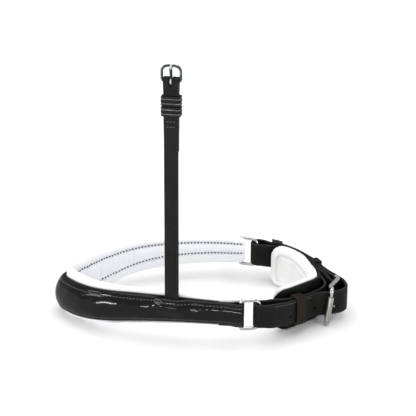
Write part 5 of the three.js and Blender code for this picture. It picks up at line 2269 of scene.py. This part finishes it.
@dataclass(frozen=True)
class Thread:
    """Bonded sewing thread: three twisted plies with a slight shine."""

    name: str
    face: str
    roughness: float = 0.6
    ply: str = "#55555A"

    def build(self) -> bpy.types.Material:
        """Make the material: slanting bands, a little paler on each ply.

        Returns:
            The material.
        """
        # The twist is 0.3 mm; drawn at 4 mm, so that a stitch gets one soft change of tone
        material, node = new_tree(self.name)
        place = node("TexCoord", output="Object")
        size = {"Vector": place, "Scale": per_mm(4.0), "Distortion": 1.0}
        lie = {"wave_type": "BANDS", "bands_direction": "DIAGONAL"}
        twist = node("TexWave", size, 1, **lie)
        share = node("MapRange", {0: twist, 1: 0.2, 2: 0.9, 4: 0.35})
        plies = {0: share, 6: colour(self.face), 7: colour(self.ply)}
        ridge = {"Strength": 0.4, "Distance": 0.1 * MM, "Height": twist}
        finish_tree(node, {
            "Base Color": node("Mix", plies, 2, data_type="RGBA"),
            "Roughness": self.roughness,
            "Normal": node("Bump", ridge),
            "Specular IOR Level": 0.3,
        })
        return material


@dataclass(frozen=True)
class Foam:
    """Open-cell foam and felt: soft pits all over, darkened with painted shade, no shine."""

    name: str
    face: str
    # The colour of the painted shade in the pits
    pit_shade: str

    def build(self) -> bpy.types.Material:
        """Make the material: darker towards the middle of each cell, as painted shade in its pit.

        Returns:
            The material.
        """
        # Cut cells scatter the light, so it looks chalky, with painted shade in the small pits
        material, node = new_tree(self.name)
        place = node("TexCoord", output="Object")
        cells = node("TexVoronoi", {"Vector": place, "Scale": per_mm(0.9)}, "Distance")
        pits = {0: cells, 6: colour(self.pit_shade), 7: colour(self.face)}
        ridge = {"Strength": 0.5, "Distance": 0.3 * MM, "Height": cells}
        finish_tree(node, {
            "Base Color": node("Mix", pits, 2, data_type="RGBA"),
            "Roughness": 0.95,
            "Normal": node("Bump", ridge),
        })
        return material


def dressed(obj: Piece, material: bpy.types.Material) -> None:
    """Give a piece its finish and report it.

    Args:
        obj: The piece.
        material: Its finish.
    """
    obj.data.materials.clear()
    obj.data.materials.append(material)
    LOG.info("%s: %d faces", obj.name, len(obj.data.polygons))


# ---- Studio ----


@dataclass(frozen=True)
class SoftBox:
    """A soft lamp: where it stands, what it faces, its size, all in metres, and its watts."""

    name: str
    place: tuple
    target: tuple
    size: tuple
    power: float


@dataclass
class Studio:
    """The pale floor, the soft lights and the camera at the photograph's angle."""

    focal: float = 115.1
    sensor: float = 36.0
    pitch: float = 67.3
    eye: tuple = (5.981, -1040.538, 531.1)
    floor_half: float = 4.0
    mirrored_floor: str = "#BEBEBE"
    sky: float = 0.78
    mirrored_sky: float = 0.42
    seen_sky: float = 0.24
    lamps: tuple = (
        SoftBox("overhead box", (0.0, 0.1, 1.7), (0.0, 0.0, 0.0), (1.8, 1.8), 14.6),
        SoftBox("left box", (-1.25, -0.35, 0.75), (0.0, 0.0, 0.03), (0.22, 0.7), 3.6),
        SoftBox("low left strip", (-0.95, -0.75, 0.05), (-0.06, -0.05, 0.02), (0.3, 0.05), 2.2),
        SoftBox("low front strip", (-0.3, -0.85, 0.03), (-0.03, -0.06, 0.02), (0.25, 0.03), 0.8),
        SoftBox("right strip", (1.2, -0.9, 0.4), (0.1, -0.03, 0.02), (0.12, 0.5), 4.0),
    )

    def build_camera(self) -> None:
        """Set the camera 1.04 m in front and 0.53 m up, looking 22.7 degrees down."""
        data = bpy.data.cameras.new("camera")
        data.lens, data.sensor_width = self.focal, self.sensor
        data.clip_start, data.clip_end = 0.05, 20.0
        camera = bpy.data.objects.new("camera", data)
        camera.location = Vector(self.eye) * MM
        camera.rotation_euler = (math.radians(self.pitch), 0.0, 0.0)
        bpy.context.scene.collection.objects.link(camera)
        bpy.context.scene.camera = camera
        bpy.context.scene.view_settings.view_transform = "Standard"

    def build_floor(self) -> None:
        """Lay the floor, a matt sheet that what shines mirrors darker, as by black cards."""
        half = self.floor_half
        corners = [(-half, -half, 0), (half, -half, 0), (half, half, 0), (-half, half, 0)]
        mesh = bpy.data.meshes.new("floor")
        mesh.from_pydata(corners, [], [(0, 1, 2, 3)])
        floor = bpy.data.objects.new("floor", mesh)
        bpy.context.scene.collection.objects.link(floor)
        material, node = new_tree("pale floor")
        place = node("TexCoord", output="Object")
        grain = node("TexNoise", {"Vector": place, "Scale": per_mm(60.0), "Detail": 2.0})
        sheet = {0: grain, 6: colour("#FBFBFB"), 7: colour("#FEFEFE")}
        base = node("Mix", sheet, 2, data_type="RGBA")
        mirrored = node("LightPath", output="Is Glossy Ray")
        cards = {0: mirrored, 6: base, 7: colour(self.mirrored_floor)}
        base = node("Mix", cards, 2, data_type="RGBA")
        finish_tree(node, {"Base Color": base, "Roughness": 0.9, "Specular IOR Level": 0.1})
        mesh.materials.append(material)

    def build_surroundings(self) -> None:
        """Light from all round: darker in reflections, and white where the camera sees it."""
        world = bpy.data.worlds.new("studio")
        world.use_nodes = True
        tree = world.node_tree
        node = partial(add_node, tree)
        background = tree.nodes["Background"]
        mirrored = node("LightPath", output="Is Glossy Ray")
        seen = mirrored.node.outputs["Is Camera Ray"]
        background.inputs[0].default_value = colour("#FFFFFF")
        dimmed = node("MapRange", {0: mirrored, 3: self.sky, 4: self.mirrored_sky})
        sums = {0: seen, 1: self.seen_sky, 2: dimmed}
        strength = node("Math", sums, operation="MULTIPLY_ADD")
        tree.links.new(strength, background.inputs[1])
        bpy.context.scene.world = world

    def build_lamp(self, box: SoftBox) -> None:
        """Set up a soft box that the camera doesn't see.

        Args:
            box: The lamp.
        """
        data = bpy.data.lights.new(box.name, "AREA")
        data.shape, data.size, data.size_y = "RECTANGLE", box.size[0], box.size[1]
        data.energy = box.power
        lamp = bpy.data.objects.new(box.name, data)
        lamp.location = box.place
        lamp.visible_camera = False
        way = Vector(box.target) - Vector(box.place)
        lamp.rotation_euler = way.to_track_quat("-Z", "Y").to_euler()
        bpy.context.scene.collection.objects.link(lamp)

    def build(self) -> None:
        """Build the camera, the floor, the surroundings and the lights."""
        self.build_camera()
        self.build_floor()
        self.build_surroundings()
        for box in self.lamps:
            self.build_lamp(box)


def main() -> None:
    """Build every piece in order, dress it and report it."""
    logging.basicConfig(level=logging.INFO, format="%(name)s: %(message)s")
    Studio().build()

    black = StrapLeather(
        "black bridle leather", "#0B0B0A", "#131312", "#222221", 0.42, 10.75
    ).build()
    cheek_black = StrapLeather(
        "black cheek leather", "#0E0F0E", "#161716", "#242524", 0.46, 6.1
    ).build()
    # The keepers' near-white crease lines are painted highlights
    keeper_black = StrapLeather(
        "black keeper leather", "#0F100F", "#171817", "#2A2B2B", 0.4, 3.7,
        crease="#A6A8AA", crease_highlight_share=0.75,
    ).build()
    far_keeper_black = StrapLeather(
        "black strap keeper leather", "#0C0C0B", "#151514", "#2A2A29", 0.42, 4.0
    ).build()
    brown = StrapLeather(
        "brown bridle leather", "#16110D", "#211A15", "#352A22", 0.44, 6.0, Grain.CREASED, 1.4
    ).build()
    patent = PatentLeather().build()
    lining = SoftLining("white glove leather", "#F2F2F4", "#EAEBEE").build()
    pad_white = SoftLining("white pad leather", "#EBEBEA", "#EAEAE9", "#D6D6D5").build()
    steel = Metal("nickel-plated steel", "#F0F0F2", "#C4C6C9", 0.2).build()
    roller = Metal("brushed roller steel", "#DCD9D4", "#8F8C88", 0.28, True).build()
    dark = Metal("dark nickel steel", "#5A6268", "#30363B", 0.22).build()
    # The tongue's dull grey middle is a painted dark reflection
    tongue_steel = Metal(
        "worn nickel steel with a painted dark band", "#F6F7F8", "#D2D5D8", 0.42, dark_band=(228.6, 235.8)
    ).build()
    thread = Thread("black bonded thread", "#17171A").build()
    strap_thread = Thread("grey-black bonded thread", "#5A5B5E", 0.5).build()
    patent_thread = Thread("black thread on patent", "#4C4C50", 0.35).build()
    foam = Foam("open-cell foam", "#E9E4D6", "#C9C2B0").build()
    core = Foam("shaped felt and leather core", "#5A544C", "#3F3A34").build()

    nose = Nosepiece()
    LOG.info("nosepiece %.1f mm long", nose.length)
    cheek = Cheek(nose)
    dressed(nose.build_lining(), lining)
    dressed(nose.build_foam(), foam)
    dressed(nose.build_backing(), black)
    dressed(nose.build_core(cheek.distance), core)
    cover, lines = nose.build_cover(cheek.distance)
    dressed(cover, patent)
    for name, line in lines.items():
        dressed(stitches("nose_cover_stitches_" + name, *line, COVER_GAUGE), patent_thread)
    for sign, name in ((1, "upper"), (-1, "lower")):
        line = nose.sewn_line(sign)
        dressed(stitches("nose_lining_stitches_" + name, *line, LINING_GAUGE), thread)

    rings = Rings(nose)
    for far in (False, True):
        dressed(rings.build_ring(far), steel)
        dressed(rings.build_chape(far), black)

    strap = ChinStrap(rings)
    leather, band = strap.build_strap()
    dressed(leather, black)
    for name, start, stop, sign in strap.seams:
        line = strap.edge_seam(band, start, stop, sign)
        dressed(stitches("strap_stitches_" + name, *line, STRAP_GAUGE), strap_thread)
    buckle = ChinBuckle(strap)
    dressed(buckle.build_frame(), steel)
    dressed(buckle.build_roller(), roller)
    dressed(buckle.build_tongue(), steel)
    keepers = StrapKeepers(strap)
    dressed(keepers.build("near_keeper", "near_runner", 0.26, 12.0, True), brown)
    for node, share in (("far_keeper_middle", 0.697), ("far_keeper_end", 0.892)):
        dressed(keepers.build(node, "noseband", share, 8.0, False), far_keeper_black)

    pad = JawPad(strap)
    dressed(pad.build_lining(), pad_white)
    dressed(pad.build_foam(), foam)
    dressed(pad.build_backing(), black)

    dressed(cheek.build_strap(), cheek_black)
    for name, height in cheek.seams:
        line = cheek.cross_seam(height)
        dressed(stitches("cheek_stitches_" + name, *line, CHEEK_GAUGE), strap_thread)
    dressed(cheek.build_frame(), dark)
    dressed(cheek.build_tongue(), tongue_steel)
    for step in (0, 1):
        dressed(cheek.build_keeper(step), keeper_black)


if __name__ == "__main__":
    main()
